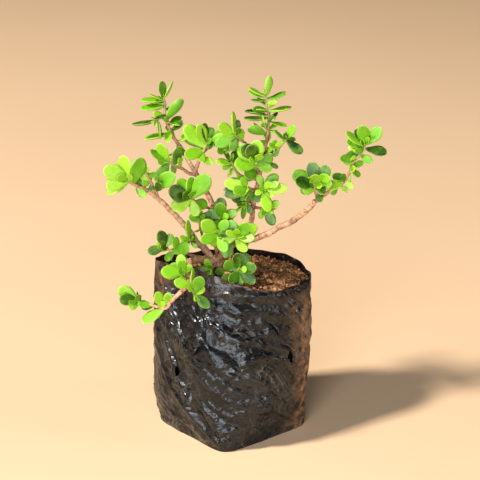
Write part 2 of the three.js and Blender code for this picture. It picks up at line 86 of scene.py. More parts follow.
# Creases of the film: how far each stands out of it, or into it where that is negative, how far it takes
# to fade, and the points that it runs through (degrees round the bag, height).
CREASES = [
    # the left corner, folded upright from the rim down
    (2.4, 5, [(-178, 134), (-176, 112), (-172, 92), (-168, 70)]),
    (-2.2, 5, [(-166, 134), (-164, 112), (-163, 96)]),
    (1.6, 5, [(-156, 134), (-158, 116), (-160, 100), (-158, 78)]),
    # the lip along the front of the rim, and the folds under it
    (1.5, 4, [(-150, 129), (-120, 125), (-88, 121), (-62, 116), (-40, 113), (-18, 113)]),
    (-1.9, 4, [(-128, 120), (-91, 114), (-76, 112), (-60, 110), (-42, 106)]),
    (1.6, 6, [(-112, 112), (-90, 109), (-66, 105), (-48, 101)]),
    (-1.9, 5, [(-104, 101), (-90, 97), (-78, 95), (-66, 93), (-50, 95)]),
    (1.5, 4, [(-106, 93), (-92, 90), (-80, 88), (-66, 86)]),
    (-1.2, 5, [(-112, 88), (-98, 82), (-84, 80)]),
    # creases that run from the right slot
    (1.3, 4, [(-37, 72), (-50, 78), (-66, 82)]),
    (1.3, 4, [(-37, 64), (-52, 70), (-68, 74), (-82, 73)]),
    (-1.5, 3.5, [(-38, 68), (-52, 74), (-66, 78)]),
    (-1.1, 5, [(-35, 62), (-30, 50), (-22, 38)]),
    (1.1, 5, [(-34, 74), (-28, 86), (-24, 98)]),
    # creases that run from the left slot
    (1.2, 4, [(-139, 54), (-143, 44), (-147, 34)]),
    (1.2, 4, [(-137, 54), (-133, 44), (-129, 36)]),
    (-1.3, 5, [(-138, 62), (-150, 74), (-158, 88)]),
    (1.0, 5, [(-134, 62), (-124, 72), (-112, 79)]),
    # long slack diagonals across the front
    (1.1, 4, [(-122, 66), (-106, 55), (-90, 44), (-74, 36)]),
    (-1.1, 5, [(-112, 74), (-96, 62), (-82, 51), (-66, 43)]),
    (1.0, 5, [(-100, 72), (-84, 62), (-68, 55), (-52, 52)]),
    (-0.9, 5, [(-118, 46), (-104, 34), (-92, 26)]),
    (1.1, 4, [(-96, 16), (-84, 19), (-66, 18), (-46, 15)]),
    (-0.9, 5, [(-78, 30), (-64, 26), (-50, 26), (-36, 30)]),
    (0.9, 5, [(-56, 60), (-48, 44), (-44, 28), (-46, 12)]),
    # the bottom, gathered along the left and square in front
    (-1.3, 4, [(-172, 4), (-158, 8), (-142, 6), (-124, 5)]),
    (1.0, 5, [(-170, 14), (-152, 16), (-134, 13)]),
    (1.3, 5, [(-98, 0), (-97, 10), (-99, 24), (-104, 38)]),
    # the right side and the nick in it
    (1.2, 6, [(-12, 118), (-8, 100), (-6, 84), (-8, 66)]),
    (-1.3, 5, [(-4, 60), (-4, 45), (-7, 30), (-14, 18)]),
    (-1.1, 6, [(6, 112), (8, 90), (4, 74)]),
    # the back
    (1.4, 6, [(28, 118), (40, 100), (56, 88), (74, 80)]),
    (1.2, 4, [(48, 66), (60, 74), (76, 76), (92, 72)]),
    (-1.2, 5, [(48, 58), (62, 50), (78, 46), (96, 48)]),
    (-1.6, 6, [(84, 120), (96, 108), (112, 100), (130, 98)]),
    (1.2, 5, [(100, 92), (116, 84), (134, 76), (137, 70)]),
    (1.2, 5, [(138, 61), (148, 50), (152, 36), (150, 20)]),
    (1.2, 5, [(84, 10), (84, 26), (80, 42)]),
    (-1.3, 6, [(162, 116), (168, 96), (166, 76), (160, 60)]),
    (1.1, 5, [(172, 10), (174, 28), (176, 50)]),
]

# ---- wood and shoots, as the frame has them ----
# Only the long right limb is a little thicker here, and five leaves are rolled otherwise.

# Each branch has its radii at its root and at its end, how pale its bark is, and its route.
MAIN_STEM = [
    ((5.6, 4.2), 0.3, [(-10, 4, 84), (-10, 4, 105), (-10, 4, 119), (-11, 3, 134)]),
    ((2.7, 1.6), 0.75, [(-11, 3, 128), (-19, 1, 139), (-26, -2, 147), (-32, -6, 158), (-38, -10, 167),
                        (-47, -16, 179), (-55, -20, 188), (-59, -21, 192)]),
    ((2.6, 1.9), 0.3, [(-10, 3, 127), (-8, 8, 143), (-9, 9, 155), (-12, 8, 167), (-17, 7, 180),
                       (-22, 6, 190), (-27, 5, 200)]),
    ((1.7, 1.4), 0.3, [(-27, 5, 199), (-31, 7, 206), (-35, 9, 213)]),
    ((2.7, 2.0), 0.45, [(-11, 3, 130), (-3, -1, 143), (7, -5, 148), (21, -8, 153), (35, -8, 160),
                        (46, -8, 166), (55, -8, 173), (62, -8, 181)]),
    ((1.6, 1.3), 0.3, [(61, -8, 180), (69, -5, 185), (77, -3, 190)]),
    ((3, 2.6), 0.6, [(-10, 3, 127), (-20, -6, 134), (-26, -12, 137), (-31, -20, 138)]),
    ((1.9, 1.6), 0.3, [(-30, -18, 138), (-30, -32, 142), (-31, -46, 139), (-30, -59, 133)]),
]
SECOND_STEM = [
    ((3.1, 1.5), 0.3, [(8, 23, 84), (9, 22, 105), (9, 20, 131), (12, 17, 144), (15, 15, 160),
                       (17, 12, 176), (20, 9, 191), (22, 9, 202), (23, 10, 208)]),
]

# Each shoot has how far its leaves face the front (degrees), a leaf's width over its length, the radii of
# its twig, its route, its leaves, and smaller leaves that fill its rosettes. A leaf has its place along the
# twig, its direction as seen from the front (degrees, 0 to the right and 90 up), its lean towards the
# front, its length, and where it needs one, a roll about its own axis.
SHOOTS = {
    "far_left": (65, 0.72, (1.6, 1),
        [(-58, -21, 191), (-62, -22, 194), (-66, -23, 196), (-71, -25, 199), (-74, -26, 202)],
        [(0.75, 76, 8, 22, 38), (0.95, 104, 4, 20, -34), (1, 146, 12, 21), (1, 187, 26, 18),
         (0.95, 213, -5, 20, 30), (0.3, 130, -25, 14), (0.45, 250, -50, 14)],
        [(1, 150, 34, 11, -20), (0.9, 88, 30, 9), (0.6, 305, 10, 10), (0.35, 70, -30, 13, 30)]),
    "left_limb": (65, 0.7, (1.2, 0.9),
        [(-53, -19, 186), (-56, -19, 194), (-60, -20, 202), (-63, -21, 207)],
        [(0.3, 42, 8, 20), (0.25, 62, 40, 12), (0.95, 60, 10, 6)],
        [(0.6, 150, 10, 9), (0.75, 20, 20, 8), (0.5, 265, 30, 7)]),
    "left_inner": (60, 0.66, (1.3, 0.9),
        [(-26, 5, 197), (-31, 4, 199), (-37, 2, 203), (-42, 0, 206), (-46, -1, 209)],
        [(1, 145, 10, 17, 35), (1, 116, 0, 16, -25), (1, 232, 28, 18), (0.75, 76, 2, 16, 50),
         (0.7, 250, -45, 13)],
        [(1, 175, 20, 9), (1, 95, 45, 8), (0.5, 100, 20, 10, 40), (0.85, 20, -30, 10)]),
    "left_top": (12, 0.56, (1.5, 0.8),
        [(-34, 8, 211), (-38, 10, 218), (-43, 12, 225), (-47, 13, 233), (-49, 14, 242), (-49, 15, 248),
         (-50, 15, 253)],
        [(1, 95, 14, 14.5, -75), (0.98, 152, 22, 13), (1, 60, -10, 15, -50), (0.95, 176, 0, 17),
         (0.9, 183, -26, 15), (0.84, 190, 5, 18.5), (0.8, 194, -22, 16), (0.66, 195, 60, 13),
         (0.58, 52, 8, 21, -75), (0.56, -8, 25, 12), (0.5, 30, -40, 14), (0.44, 265, 60, 14),
         (0.4, 196, 6, 21)],
        [(0.62, 158, 25, 11, -55), (0.42, 38, 20, 14, 30), (0.22, 250, 20, 15, 40),
         (0.25, 30, 35, 13, 20), (0.74, 20, 10, 11, 30), (0.3, 130, -40, 13), (0.55, 100, 50, 9, 60),
         (0.12, 200, 30, 12, 20)]),
    "left_crown": (55, 0.66, (1.5, 0.9),
        [(-27, 5, 200), (-24, 4, 209), (-21, 4, 215), (-18, 3, 222)],
        [(1, 96, 2, 16, 50), (0.97, 112, 14, 18), (0.85, 131, -4, 22), (0.8, 154, -20, 21, -60),
         (0.74, 188, 34, 17), (0.9, 24, 56, 12), (0.6, 60, -50, 14), (0.7, 255, 50, 10)],
        [(0.95, 20, 10, 18, 30), (0.95, 70, -25, 14), (0.5, 175, -20, 15), (1, 60, 50, 9),
         (0.45, 340, 20, 11)]),
    "middle_left": (60, 0.76, (1.2, 0.9),
        [(-13, 8, 168), (-19, 3, 173), (-23, -1, 176), (-28, -7, 181), (-30, -10, 184)],
        [(0.95, 57, 6, 23), (1, 152, 28, 21), (1, 122, -6, 17, 25), (0.95, 93, -16, 16, 50),
         (0.88, 201, 20, 17), (0.85, 285, 25, 13), (0.6, 240, -50, 13)],
        [(1, 130, 45, 12, -30), (1, 75, 40, 10, 40), (0.7, 330, -30, 13), (0.5, 170, 10, 12, 30)]),
    "middle_low": (55, 0.66, (1.1, 0.8),
        [(-18, 2, 139), (-21, -1, 148), (-23, -3, 158), (-24, -6, 167)],
        [(0.66, 172, 62, 11, 50), (1, 100, 5, 11), (1, 20, -10, 10), (0.7, 350, -40, 11)],
        [(0.85, 150, -20, 10), (0.4, 30, 10, 9), (0.9, 60, 30, 9)]),
    "limb_spur": (60, 0.5, (1.2, 1),
        [(-27, -3, 148), (-29, -7, 149), (-31, -10, 151)],
        [(1, 96, 6, 17, 45), (0.9, 320, 45, 9)],
        [(1, 150, 20, 9), (0.9, 40, 30, 8), (0.9, 230, 20, 8)]),
    "centre_low": (65, 0.74, (1.4, 0.9),
        [(-11, 3, 137), (-12, -3, 145), (-10, -10, 153), (-10, -13, 156)],
        [(0.95, 187, 30, 15), (1, 300, 30, 14), (0.95, 130, 12, 18), (1, 62, 0, 14), (0.6, 350, -30, 12)],
        [(1, 20, 20, 10), (0.8, 240, -20, 11), (1, 100, 45, 9)]),
    "centre_mid": (65, 0.74, (1.2, 0.9),
        [(-11, 8, 165), (-9, 1, 166), (-7, -5, 166)],
        [(1, 92, 16, 15), (0.8, 25, 0, 13), (1, 218, 26, 10), (0.6, 85, -25, 15), (0.9, 300, 35, 12)],
        [(0.9, 150, -10, 12), (1, 50, 40, 9), (0.5, 200, -20, 11), (0.7, 330, -20, 12)]),
    "centre_front": (65, 0.72, (1.3, 0.9),
        [(1, -3, 144), (2, -9, 150), (4, -15, 156)],
        [(1, 48, 16, 15), (0.95, 2, 26, 15), (1, 150, 20, 10), (0.85, 108, -12, 14),
         (0.75, 315, 25, 13), (0.8, 26, -24, 19), (0.3, 235, 10, 13)],
        [(0.9, 190, 10, 12), (1, 90, 40, 10), (0.6, 60, -30, 13), (0.4, 0, 10, 11)]),
    "foot": (65, 0.78, (1.6, 0.9),
        [(-9, 1, 124), (-3, -7, 124), (3, -14, 127), (6, -17, 131)],
        [(1, 100, 12, 14), (0.6, 118, 14, 13), (0.95, 14, 16, 14), (0.95, 325, 22, 16),
         (0.9, 228, 40, 13), (0.5, 212, 20, 9), (0.9, 285, 25, 11), (1, 58, -24, 13), (0.85, 160, -20, 12)],
        [(0.7, 250, 10, 10), (1, 20, 50, 9), (0.4, 60, -20, 12), (0.3, 170, 10, 9)]),
    "trunk_left": (55, 0.66, (1.2, 0.9),
        [(-11, 0, 131), (-13, -6, 130), (-15, -12, 129)],
        [(1, 190, 0, 15), (0.9, 268, 10, 11, 70), (0.6, 205, -20, 11)],
        [(0.8, 130, 20, 10), (1, 230, 40, 9)]),
    "rim_left": (62, 0.7, (1.4, 0.9),
        [(-25, -11, 138), (-36, -11, 142), (-44, -10, 143), (-50, -10, 145)],
        [(1, 102, 10, 15), (1, 190, 12, 13), (0.85, 140, 42, 9), (0.72, 20, 34, 19),
         (0.8, 175, -40, 14), (0.6, 230, -10, 11)],
        [(1, 60, -20, 12), (1, 150, 45, 8), (0.5, 100, 10, 12, 30), (0.4, 300, 20, 9)]),
    "over_rim": (65, 0.72, (1.3, 0.9),
        [(-31, -42, 138), (-33, -48, 139), (-34, -52, 140)],
        [(1, 98, 22, 13), (0.85, 102, -16, 14), (0.95, 172, 14, 17), (0.7, 160, -24, 13)],
        [(1, 50, 10, 9), (1, 130, 40, 8), (0.6, 300, 40, 8)]),
    "spill_right": (62, 0.7, (1.3, 0.9),
        [(-30, -53, 137), (-28, -61, 134), (-26, -66, 129)],
        [(0.95, 66, 6, 15), (0.5, 158, 16, 14), (0.6, 90, -4, 14, 75), (1, 318, 14, 14)],
        [(1, 30, -20, 9), (0.8, 130, 40, 8)]),
    "spill_left": (62, 0.7, (1.7, 0.8),
        [(-31, -58, 133), (-37, -63, 129), (-43, -64, 123), (-47, -63, 118), (-54, -61, 118),
         (-61, -59, 120), (-67, -56, 121)],
        [(0.46, 86, 12, 12), (0.56, 108, 10, 14), (0.52, 212, 8, 19, 42), (0.72, 168, 10, 11),
         (0.7, 196, -25, 11), (1, 142, 6, 17), (1, 168, 24, 15), (0.95, 220, -15, 11)],
        [(1, 190, 45, 9), (0.95, 110, 40, 9), (0.6, 60, 30, 8), (0.3, 150, 30, 8)]),
    "right_top": (12, 0.54, (1.5, 0.8),
        [(23, 10, 207), (25, 14, 215), (27, 17, 227), (28, 18, 236), (27, 19, 243), (26, 20, 250),
         (26, 20, 254)],
        [(1, 84, 8, 16, -75), (0.98, 154, 4, 15), (0.95, 168, -24, 15), (0.86, 180, 10, 12),
         (0.9, 20, 4, 15.5), (0.66, 184, -12, 18), (0.68, 160, 50, 14), (0.7, 46, 14, 10, -70),
         (0.66, 9, -14, 18.5), (0.58, 172, -28, 15), (0.54, 182, 8, 19), (0.34, 108, 18, 15, -20),
         (0.42, 85, -14, 11, 80), (0.46, 70, 30, 9), (0.48, 345, 6, 14), (0.31, 152, 24, 18, 60),
         (0.3, 142, -18, 14, 60), (0.36, 5, 45, 10), (0.36, 30, -40, 12), (0.2, 325, 20, 12)],
        [(0.68, 172, 30, 13, -55), (0.1, 55, 35, 16, 50), (0.8, 15, 30, 9, 40), (0.75, 150, -45, 11),
         (0.5, 30, -45, 11), (0.25, 200, 30, 14, -40), (0.2, 80, -40, 13), (0.4, 140, 45, 10, 60),
         (0.6, 330, 40, 8)]),
    "right_side": (55, 0.56, (1.3, 0.9),
        [(22, 9, 199), (28, 6, 208), (36, 3, 220), (40, 2, 225)],
        [(1, 60, 8, 13), (1, 138, 8, 12, 30), (1, 325, 8, 16), (0.95, 0, -25, 9), (0.6, 150, 30, 10),
         (0.55, 105, 20, 10), (0.65, 235, 24, 9)],
        [(1, 100, 40, 9), (0.9, 200, 30, 8), (0.8, 60, -40, 10), (0.3, 330, 20, 9)]),
    "crown_front": (65, 0.8, (1.4, 1),
        [(21, 9, 195), (19, 3, 203), (18, -3, 210)],
        [(1, 110, 22, 16), (0.95, 84, 4, 17), (0.95, 138, -2, 18), (0.9, 122, 14, 18),
         (0.7, 172, 14, 17), (0.5, 206, 48, 15), (0.4, 42, 20, 10), (0.7, 350, 4, 12)],
        [(1, 60, 35, 10, 40), (0.8, 20, -20, 14, 20), (0.6, 230, 10, 13), (1, 150, 50, 9)]),
    "inner_left": (40, 0.66, (1.3, 0.9),
        [(20, 9, 192), (13, 8, 194), (6, 6, 197), (2, 4, 203), (0, 2, 208)],
        [(0.95, 172, -6, 12), (0.5, 122, 14, 12, 55), (1, 62, -42, 12), (0.75, 240, -30, 11)],
        [(1, 120, 10, 11, 30), (0.9, 200, 30, 9), (0.6, 300, 20, 10), (1, 20, 20, 9)]),
    "inner_top": (50, 0.66, (1.3, 0.9),
        [(22, 9, 205), (15, 6, 216), (10, 4, 222), (6, 2, 226), (3, 0, 229)],
        [(1, 140, 18, 16), (1, 98, -2, 18, 65), (0.97, 78, -20, 12, 20), (0.95, 180, -14, 18, -50),
         (0.86, 197, 12, 18, -20), (0.72, 213, -6, 20)],
        [(1, 60, 30, 9, 40), (0.9, 250, 30, 12), (0.6, 100, 20, 11), (0.4, 300, 20, 10)]),
    "drop_left": (60, 0.74, (1.2, 0.9),
        [(19, 10, 184), (15, 3, 187), (12, -3, 190)],
        [(0.95, 172, -10, 18), (1, 187, 46, 15), (0.8, 190, -4, 20), (0.9, 240, 24, 11, 40)],
        [(1, 120, 20, 10), (0.7, 150, 40, 9), (0.8, 280, -10, 11), (1, 220, 45, 9)]),
    "stem_left": (50, 0.66, (1.1, 0.9),
        [(15, 14, 173), (13, 9, 175), (11, 5, 176)],
        [(1, 216, 4, 16, 55), (1, 256, 6, 13, 50), (0.95, 152, 14, 13)],
        [(0.8, 100, 20, 10), (1, 190, 40, 9), (0.9, 290, 20, 9)]),
    "drop_right": (60, 0.66, (1.2, 0.9),
        [(20, 9, 188), (23, 4, 188), (24, -2, 188)],
        [(0.7, 40, -14, 15), (0.85, 28, 14, 13), (1, 4, 8, 18), (1, 280, 20, 17),
         (0.9, 262, -10, 13, 60), (0.8, 235, 14, 12)],
        [(1, 60, 30, 10), (0.9, 330, 30, 10), (0.7, 110, -20, 11), (1, 200, 30, 8)]),
    "stem_right": (60, 0.66, (1.1, 0.9),
        [(18, 12, 170), (23, 8, 171), (26, 3, 173)],
        [(1, 291, 10, 15), (0.7, 350, -20, 10, 60), (0.6, 255, 0, 9)],
        [(1, 20, 10, 11), (0.9, 330, 40, 9), (0.8, 90, 20, 10), (1, 250, 40, 8)]),
    "long_end": (65, 0.78, (1.6, 1),
        [(64, -8, 183), (62, -9, 190), (61, -11, 195)],
        [(0.95, 96, -8, 17), (0.95, 52, -4, 17), (1, 32, 22, 14), (1, 168, 26, 17),
         (0.9, 152, -14, 19), (1, 88, 48, 15), (0.85, 8, 4, 13), (0.7, 340, 34, 10), (0.6, 200, -30, 13)],
        [(1, 110, 45, 9), (1, 10, 50, 9), (0.8, 60, -40, 12), (0.5, 180, 20, 10), (0.5, 20, 20, 9),
         (0.4, 300, 20, 9)]),
    "long_tip": (55, 0.66, (1.4, 0.8),
        [(76, -3, 189), (84, -2, 195), (88, -1, 203), (90, 0, 209), (94, 1, 213), (98, 2, 218),
         (98, 2, 221)],
        [(1, 94, 16, 17), (0.97, 118, -16, 14), (0.96, 142, 4, 18, 40), (0.92, 162, -12, 14),
         (1, 47, 4, 18), (1, 100, 56, 8), (0.85, 354, 10, 17), (0.84, 180, -10, 12), (0.77, 194, 12, 13),
         (0.64, 182, 24, 15), (0.42, 150, 18, 9), (0.38, 78, 10, 10, 40), (0.38, 22, -14, 10),
         (0.35, 320, 12, 9), (0.2, 300, 26, 9), (0.22, 176, 12, 12), (0.15, 196, 20, 15),
         (0.12, 140, -20, 10), (0.08, 320, 14, 8)],
        [(1, 70, 30, 9), (1, 130, 50, 8), (0.9, 200, 30, 9), (0.7, 330, 30, 11), (0.5, 60, -20, 11),
         (0.3, 250, 10, 9), (0.28, 60, 30, 9), (0.12, 80, 20, 9), (0.05, 230, 20, 8)]),
}
# The other arm of a shoot that forks, and shoots whose twig is redder than the rest.
FORKS = {"left_top": (12, 0.5, (1, 0.8), [(-47, 13, 237), (-52, 9, 240), (-55, 6, 239)],
                      [(0.95, 188, 4, 19), (0.9, 277, 8, 15, 80)], [])}
RUDDY = {"spill_left": 0.8}

LEAF_THICKNESS = 0.13
LEAF_CUP = 0.06
LEAF_ROOT = -0.2
ROUTE_STEP = 1.1
CROOKEDNESS = 0.22
STEM_BARK = dict(sides=12, node_step=5.5, swelling=0.16)
TWIG_BARK = dict(sides=8, node_step=4.2, swelling=0.2, tip=1.2)
AIM_SCATTER = 3
ROLL_SCATTER = 10
WIDTH_SCATTER = 0.07
SEED_STEP = 7919
DRAW_FACTOR = 48271
DRAW_RANGE = 2147483647

# ---- working on meshes ----


def only(*objects):
    """Selects these objects and nothing else, and makes the first one active."""
    bpy.ops.object.select_all(action="DESELECT")
    for one in objects:
        one.select_set(True)
    bpy.context.view_layer.objects.active = objects[0]


def named(name):
    """The active object, under this name."""
    piece = bpy.context.view_layer.objects.active
    piece.name = piece.data.name = name
    return piece


def put(name, data):
    """A new object in the scene."""
    piece = bpy.data.objects.new(name, data)
    bpy.context.scene.collection.objects.link(piece)
    return piece


def set_all(thing, **values):
    for name, value in values.items():
        setattr(thing, name, value)


def points_of(mesh):
    flat = np.empty(len(mesh.vertices) * 3)
    mesh.vertices.foreach_get("co", flat)
    return flat.reshape(-1, 3)


def move_points(mesh, points):
    mesh.vertices.foreach_set("co", np.asarray(points, dtype=np.float64).ravel())
    mesh.update()


def write_attribute(mesh, name, values):
    """Writes one value for each point, or one for all of them."""
    mesh.attributes.new(name, "FLOAT", "POINT")
    written = np.full(len(mesh.vertices), values, dtype=np.float32)
    mesh.attributes[name].data.foreach_set("value", written)


def smooth(piece, angle=None):
    only(piece)
    if angle is None:
        bpy.ops.object.shade_smooth()
    else:
        bpy.ops.object.shade_smooth_by_angle(angle=radians(angle))
    return piece


def finish_modifier(piece, kind, **settings):
    only(piece)
    bpy.ops.object.modifier_add(type=kind)
    set_all(piece.modifiers[-1], **settings)
    bpy.ops.object.modifier_apply(modifier=piece.modifiers[-1].name)


def join(name, pieces):
    only(*pieces)
    if len(pieces) > 1:
        bpy.ops.object.join()
    return named(name)


def dress(piece, slot, *materials, stands_for=()):
    """Gives a piece its materials, and puts it on the object in place of its CAD nodes."""
    for material in materials:
        piece.data.materials.append(material)
    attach(piece, "root")
    if stands_for:
        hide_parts(*stands_for)


def ease(value, start, end):
    share = np.clip((value - start) / (end - start), 0, 1)
    return share * share * (3 - 2 * share)


def mix(low, high, share):
    return low + (high - low) * share


def swell(points, size, seed):
    """A soft irregular wave through space, about -1 to 1, with hollows and rises of that size."""
    draw = random.Random(seed)
    total = 0
    for _ in range(6):
        heading = Vector((draw.gauss(0, 1), draw.gauss(0, 1), draw.gauss(0, 1))).normalized()
        pace = 2 * pi / size * draw.uniform(0.6, 1.5)
        total = total + np.sin(points @ np.array(heading) * pace + draw.uniform(0, 2 * pi))
    return total / 2.6


# ---- the grow bag ----


def round_axis(points):
    """Points as angles round the bag's axis, distances from it and heights."""
    x, y, z = points.T
    return np.arctan2(y, x), np.hypot(x, y), z


def turned_from(degrees, angle):
    """How far an angle lies from a direction, the short way round."""
    off = angle - radians(degrees)
    return np.arctan2(np.sin(off), np.cos(off))


def bell(angle, degrees, spread):
    return np.exp(-((turned_from(degrees, angle) / spread) ** 2))


def rim_at(angle):
    tilt = RIM_TILT * np.cos(angle - RIM_TILT_ANGLE)
    return RIM_HEIGHT + tilt - RIM_SADDLE * np.cos(2 * (angle - RIM_SADDLE_ANGLE))


def bag_reach(angle, level):
    """How far the smooth bag reaches from its axis, before its rim is squashed."""
    tuck = (np.maximum(0, BASE_TUCK_HEIGHT - level) / BASE_TUCK_HEIGHT) ** 2
    squareness = mix(MIDDLE_SQUARENESS, BASE_SQUARENESS, tuck)
    flat = (CORNER_REACH - BASE_TUCK * tuck) / 2 ** (0.5 - 1 / squareness)
    turned = angle - SIDE_ANGLE
    outline = np.abs(np.cos(turned)) ** squareness + np.abs(np.sin(turned)) ** squareness
    outline = outline ** (1 / squareness)
    rise = ease(level, PUSH_START, RIM_HEIGHT)
    pushed = sum(push * rise * bell(angle, degrees, spread) for degrees, spread, push in RIM_PUSHES)
    folded = sum(depth * np.sin(count * angle + start + drift * level)
                 for count, depth, start, drift in BROAD_FOLDS)
    return flat / outline + pushed + (1 - tuck) * folded


def crease_lift(angle, height):
    """The listed creases: straight runs, sharp at their middle, that fade towards their ends."""
    total = np.zeros_like(angle)
    for size, width, path in CREASES:
        nearest = np.full_like(angle, 1e9)
        fade = np.zeros_like(angle)
        for place, ((a0, h0), (a1, h1)) in enumerate(zip(path, path[1:])):
            run = np.array([radians(a1 - a0) * MEAN_REACH, h1 - h0])
            away = turned_from(a0, angle) * MEAN_REACH
            up = height - h0
            share = np.clip((away * run[0] + up * run[1]) / (run @ run), 0, 1)
            off = np.hypot(away - share * run[0], up - share * run[1])
            along = mix(0.07, 0.93, (place + share) / (len(path) - 1))
            closer = off < nearest
            nearest = np.where(closer, off, nearest)
            fade = np.where(closer, np.sin(pi * along) ** 0.7, fade)
        total += size * fade * np.clip(1 - nearest / width, 0, 1) ** 1.5
    return total


def film_points(angle, level, inset=0):
    """Points of the film in millimetres before it goes slack, at angles round the bag and levels up it."""
    squash = ease(level, SQUASH_START, RIM_HEIGHT)
    free = ease(level, SOIL_EDGE - 4, RIM_HEIGHT)
    top = rim_at(angle) + 0.6 * np.sin(7 * angle + 1) * np.sin(3 * angle) + 0.25 * np.sin(17 * angle)
    top = top + sum(rise * bell(angle, degrees, spread) for degrees, spread, rise in RIM_RISES)
    height = np.where(level <= SOIL_EDGE, level,
                      mix(SOIL_EDGE, top, (level - SOIL_EDGE) / (RIM_HEIGHT - SOIL_EDGE)))
    reach = bag_reach(angle, level)
    smooth_x = reach * np.cos(angle)
    smooth_y = reach * np.sin(angle) * (1 - RIM_SQUASH * squash)
    at = np.stack([smooth_x, smooth_y, height], axis=1)
    lift = sum(depth * swell(at, size, seed) for depth, size, seed in FILM_WAVES)
    lift = (lift + crease_lift(angle, height)) * (0.35 + 0.65 * ease(level, 0, 9))
    lift += free * (0.9 * np.sin(9 * angle + 0.6) * np.sin(4 * angle + 2) + 0.3 * np.sin(23 * angle))
    degrees, spread, lean = RIM_LEAN
    lift -= 0.5 + inset + lean * ease(level, SOIL_EDGE, RIM_HEIGHT) * bell(angle, degrees, spread)
    out = 1 + lift / np.hypot(smooth_x, smooth_y)
    return np.stack([smooth_x * out, smooth_y * out + RIM_SHIFT * squash, height], axis=1)


def rolled_grid(name, around, rows, profile):
    """A grid whose columns go round the bag and whose rows run along a profile, closed at its seam."""
    bpy.ops.mesh.primitive_grid_add(x_subdivisions=around, y_subdivisions=rows, size=2, location=(0, 0, 0))
    piece = named(name)
    flat = points_of(piece.data)
    move_points(piece.data, profile(radians(90) + pi * flat[:, 0], (flat[:, 1] + 1) / 2) * MM)
    only(piece)
    bpy.ops.object.mode_set(mode="EDIT")
    bpy.ops.mesh.select_all(action="SELECT")
    bpy.ops.mesh.remove_doubles(threshold=0.00002)
    bpy.ops.mesh.normals_make_consistent(inside=False)
    bpy.ops.object.mode_set(mode="OBJECT")
    return piece


# Shares of a profile's run: where the bag's floor ends, and where its filling's top begins.
FLOOR_END = 0.12
TOP_START = 0.8


def film_profile(angle, run):
    """From the middle of the floor outwards, and then up the wall."""
    points = film_points(angle, np.maximum(0, (run - FLOOR_END) / (1 - FLOOR_END)) * RIM_HEIGHT)
    points[:, :2] *= np.minimum(1, run / FLOOR_END)[:, None]
    return points


def round_body(run, side, top, low, high):
    """Levels of a closed body along its floor, side and top, and shares of its reach there."""
    level = mix(low, high, np.clip((run - side) / (top - side), 0, 1))
    return level, np.minimum(1, np.minimum(run / side, (1 - run) / (1 - top)))


def filling_profile(angle, run):
    """What the film lies against while it settles: a body a little smaller than the bag."""
    level, share = round_body(run, FLOOR_END, TOP_START, 1, SOIL_EDGE)
    points = film_points(angle, level, inset=2.4)
    points[:, :2] *= share[:, None]
    return points


# The film is simulated ten times its size, because the solver's steps are too coarse for millimetres.
# It starts larger than its place all round and in height, and turned, and is drawn to the size and place
# of the rim and the base, so that it goes slack and takes up the rest in creases.
SIM_SCALE = 10
SLACK_ROUND = 1.02
SLACK_HEIGHT = 1.035
SLACK_TURN = radians(7)
DRAWN_BY = 14
SETTLED_BY = 24


def settle(film):
    """Lets the film go slack over the filling by a cloth simulation, and keeps the result."""
    filling = rolled_grid("filling", 110, 70, filling_profile)
    for piece in (film, filling):
        move_points(piece.data, points_of(piece.data) * SIM_SCALE)
    only(filling)
    bpy.ops.object.modifier_add(type="COLLISION")
    set_all(filling.collision, thickness_outer=0.006, cloth_friction=12)
    worn = points_of(film.data)
    x, y, z = worn.T
    height = z / SIM_SCALE / MM
    turn = SLACK_TURN * ease(height / RIM_HEIGHT, 0.05, 1)
    slack = np.stack([(x * np.cos(turn) - y * np.sin(turn)) * SLACK_ROUND,
                      (x * np.sin(turn) + y * np.cos(turn)) * SLACK_ROUND, z * SLACK_HEIGHT], axis=1)
    hold = film.vertex_groups.new(name="held")
    below_rim = rim_at(np.arctan2(y, x)) - height
    firm, loose = (height < 2.5) | (below_rim < 2), (below_rim >= 2) & (below_rim < 9)
    for weight, held in ((1.0, firm), (0.25, loose)):
        hold.add(np.nonzero(held)[0].tolist(), weight, "REPLACE")
    move_points(film.data, slack)
    only(film)
    film.shape_key_add(name="slack")
    drawn = film.shape_key_add(name="drawn")
    drawn.data.foreach_set("co", worn.ravel())
    for frame_number, value in ((1, 0.0), (DRAWN_BY, 1.0)):
        drawn.value = value
        drawn.keyframe_insert("value", frame=frame_number)
    bpy.ops.object.modifier_add(type="CLOTH")
    cloth = film.modifiers[-1]
    set_all(cloth.settings, quality=6, mass=0.15, air_damping=2, tension_stiffness=80,
            compression_stiffness=80, shear_stiffness=40, bending_stiffness=0.6, tension_damping=10,
            compression_damping=10, shear_damping=10, bending_damping=0.8, pin_stiffness=4,
            vertex_group_mass="held", use_pressure=True, uniform_pressure_force=-1)
    cloth.settings.effector_weights.gravity = 0.15
    set_all(cloth.collision_settings, collision_quality=3, distance_min=0.004, use_self_collision=False)
    cloth.point_cache.frame_end = SETTLED_BY
    for frame_number in range(1, SETTLED_BY + 1):
        bpy.context.scene.frame_set(frame_number)
    only(film)
    bpy.ops.object.convert(target="MESH")
    film = named("bag_film")
    bpy.context.scene.frame_set(1)
    move_points(film.data, points_of(film.data) / SIM_SCALE)
    bpy.data.objects.remove(filling)
    return film


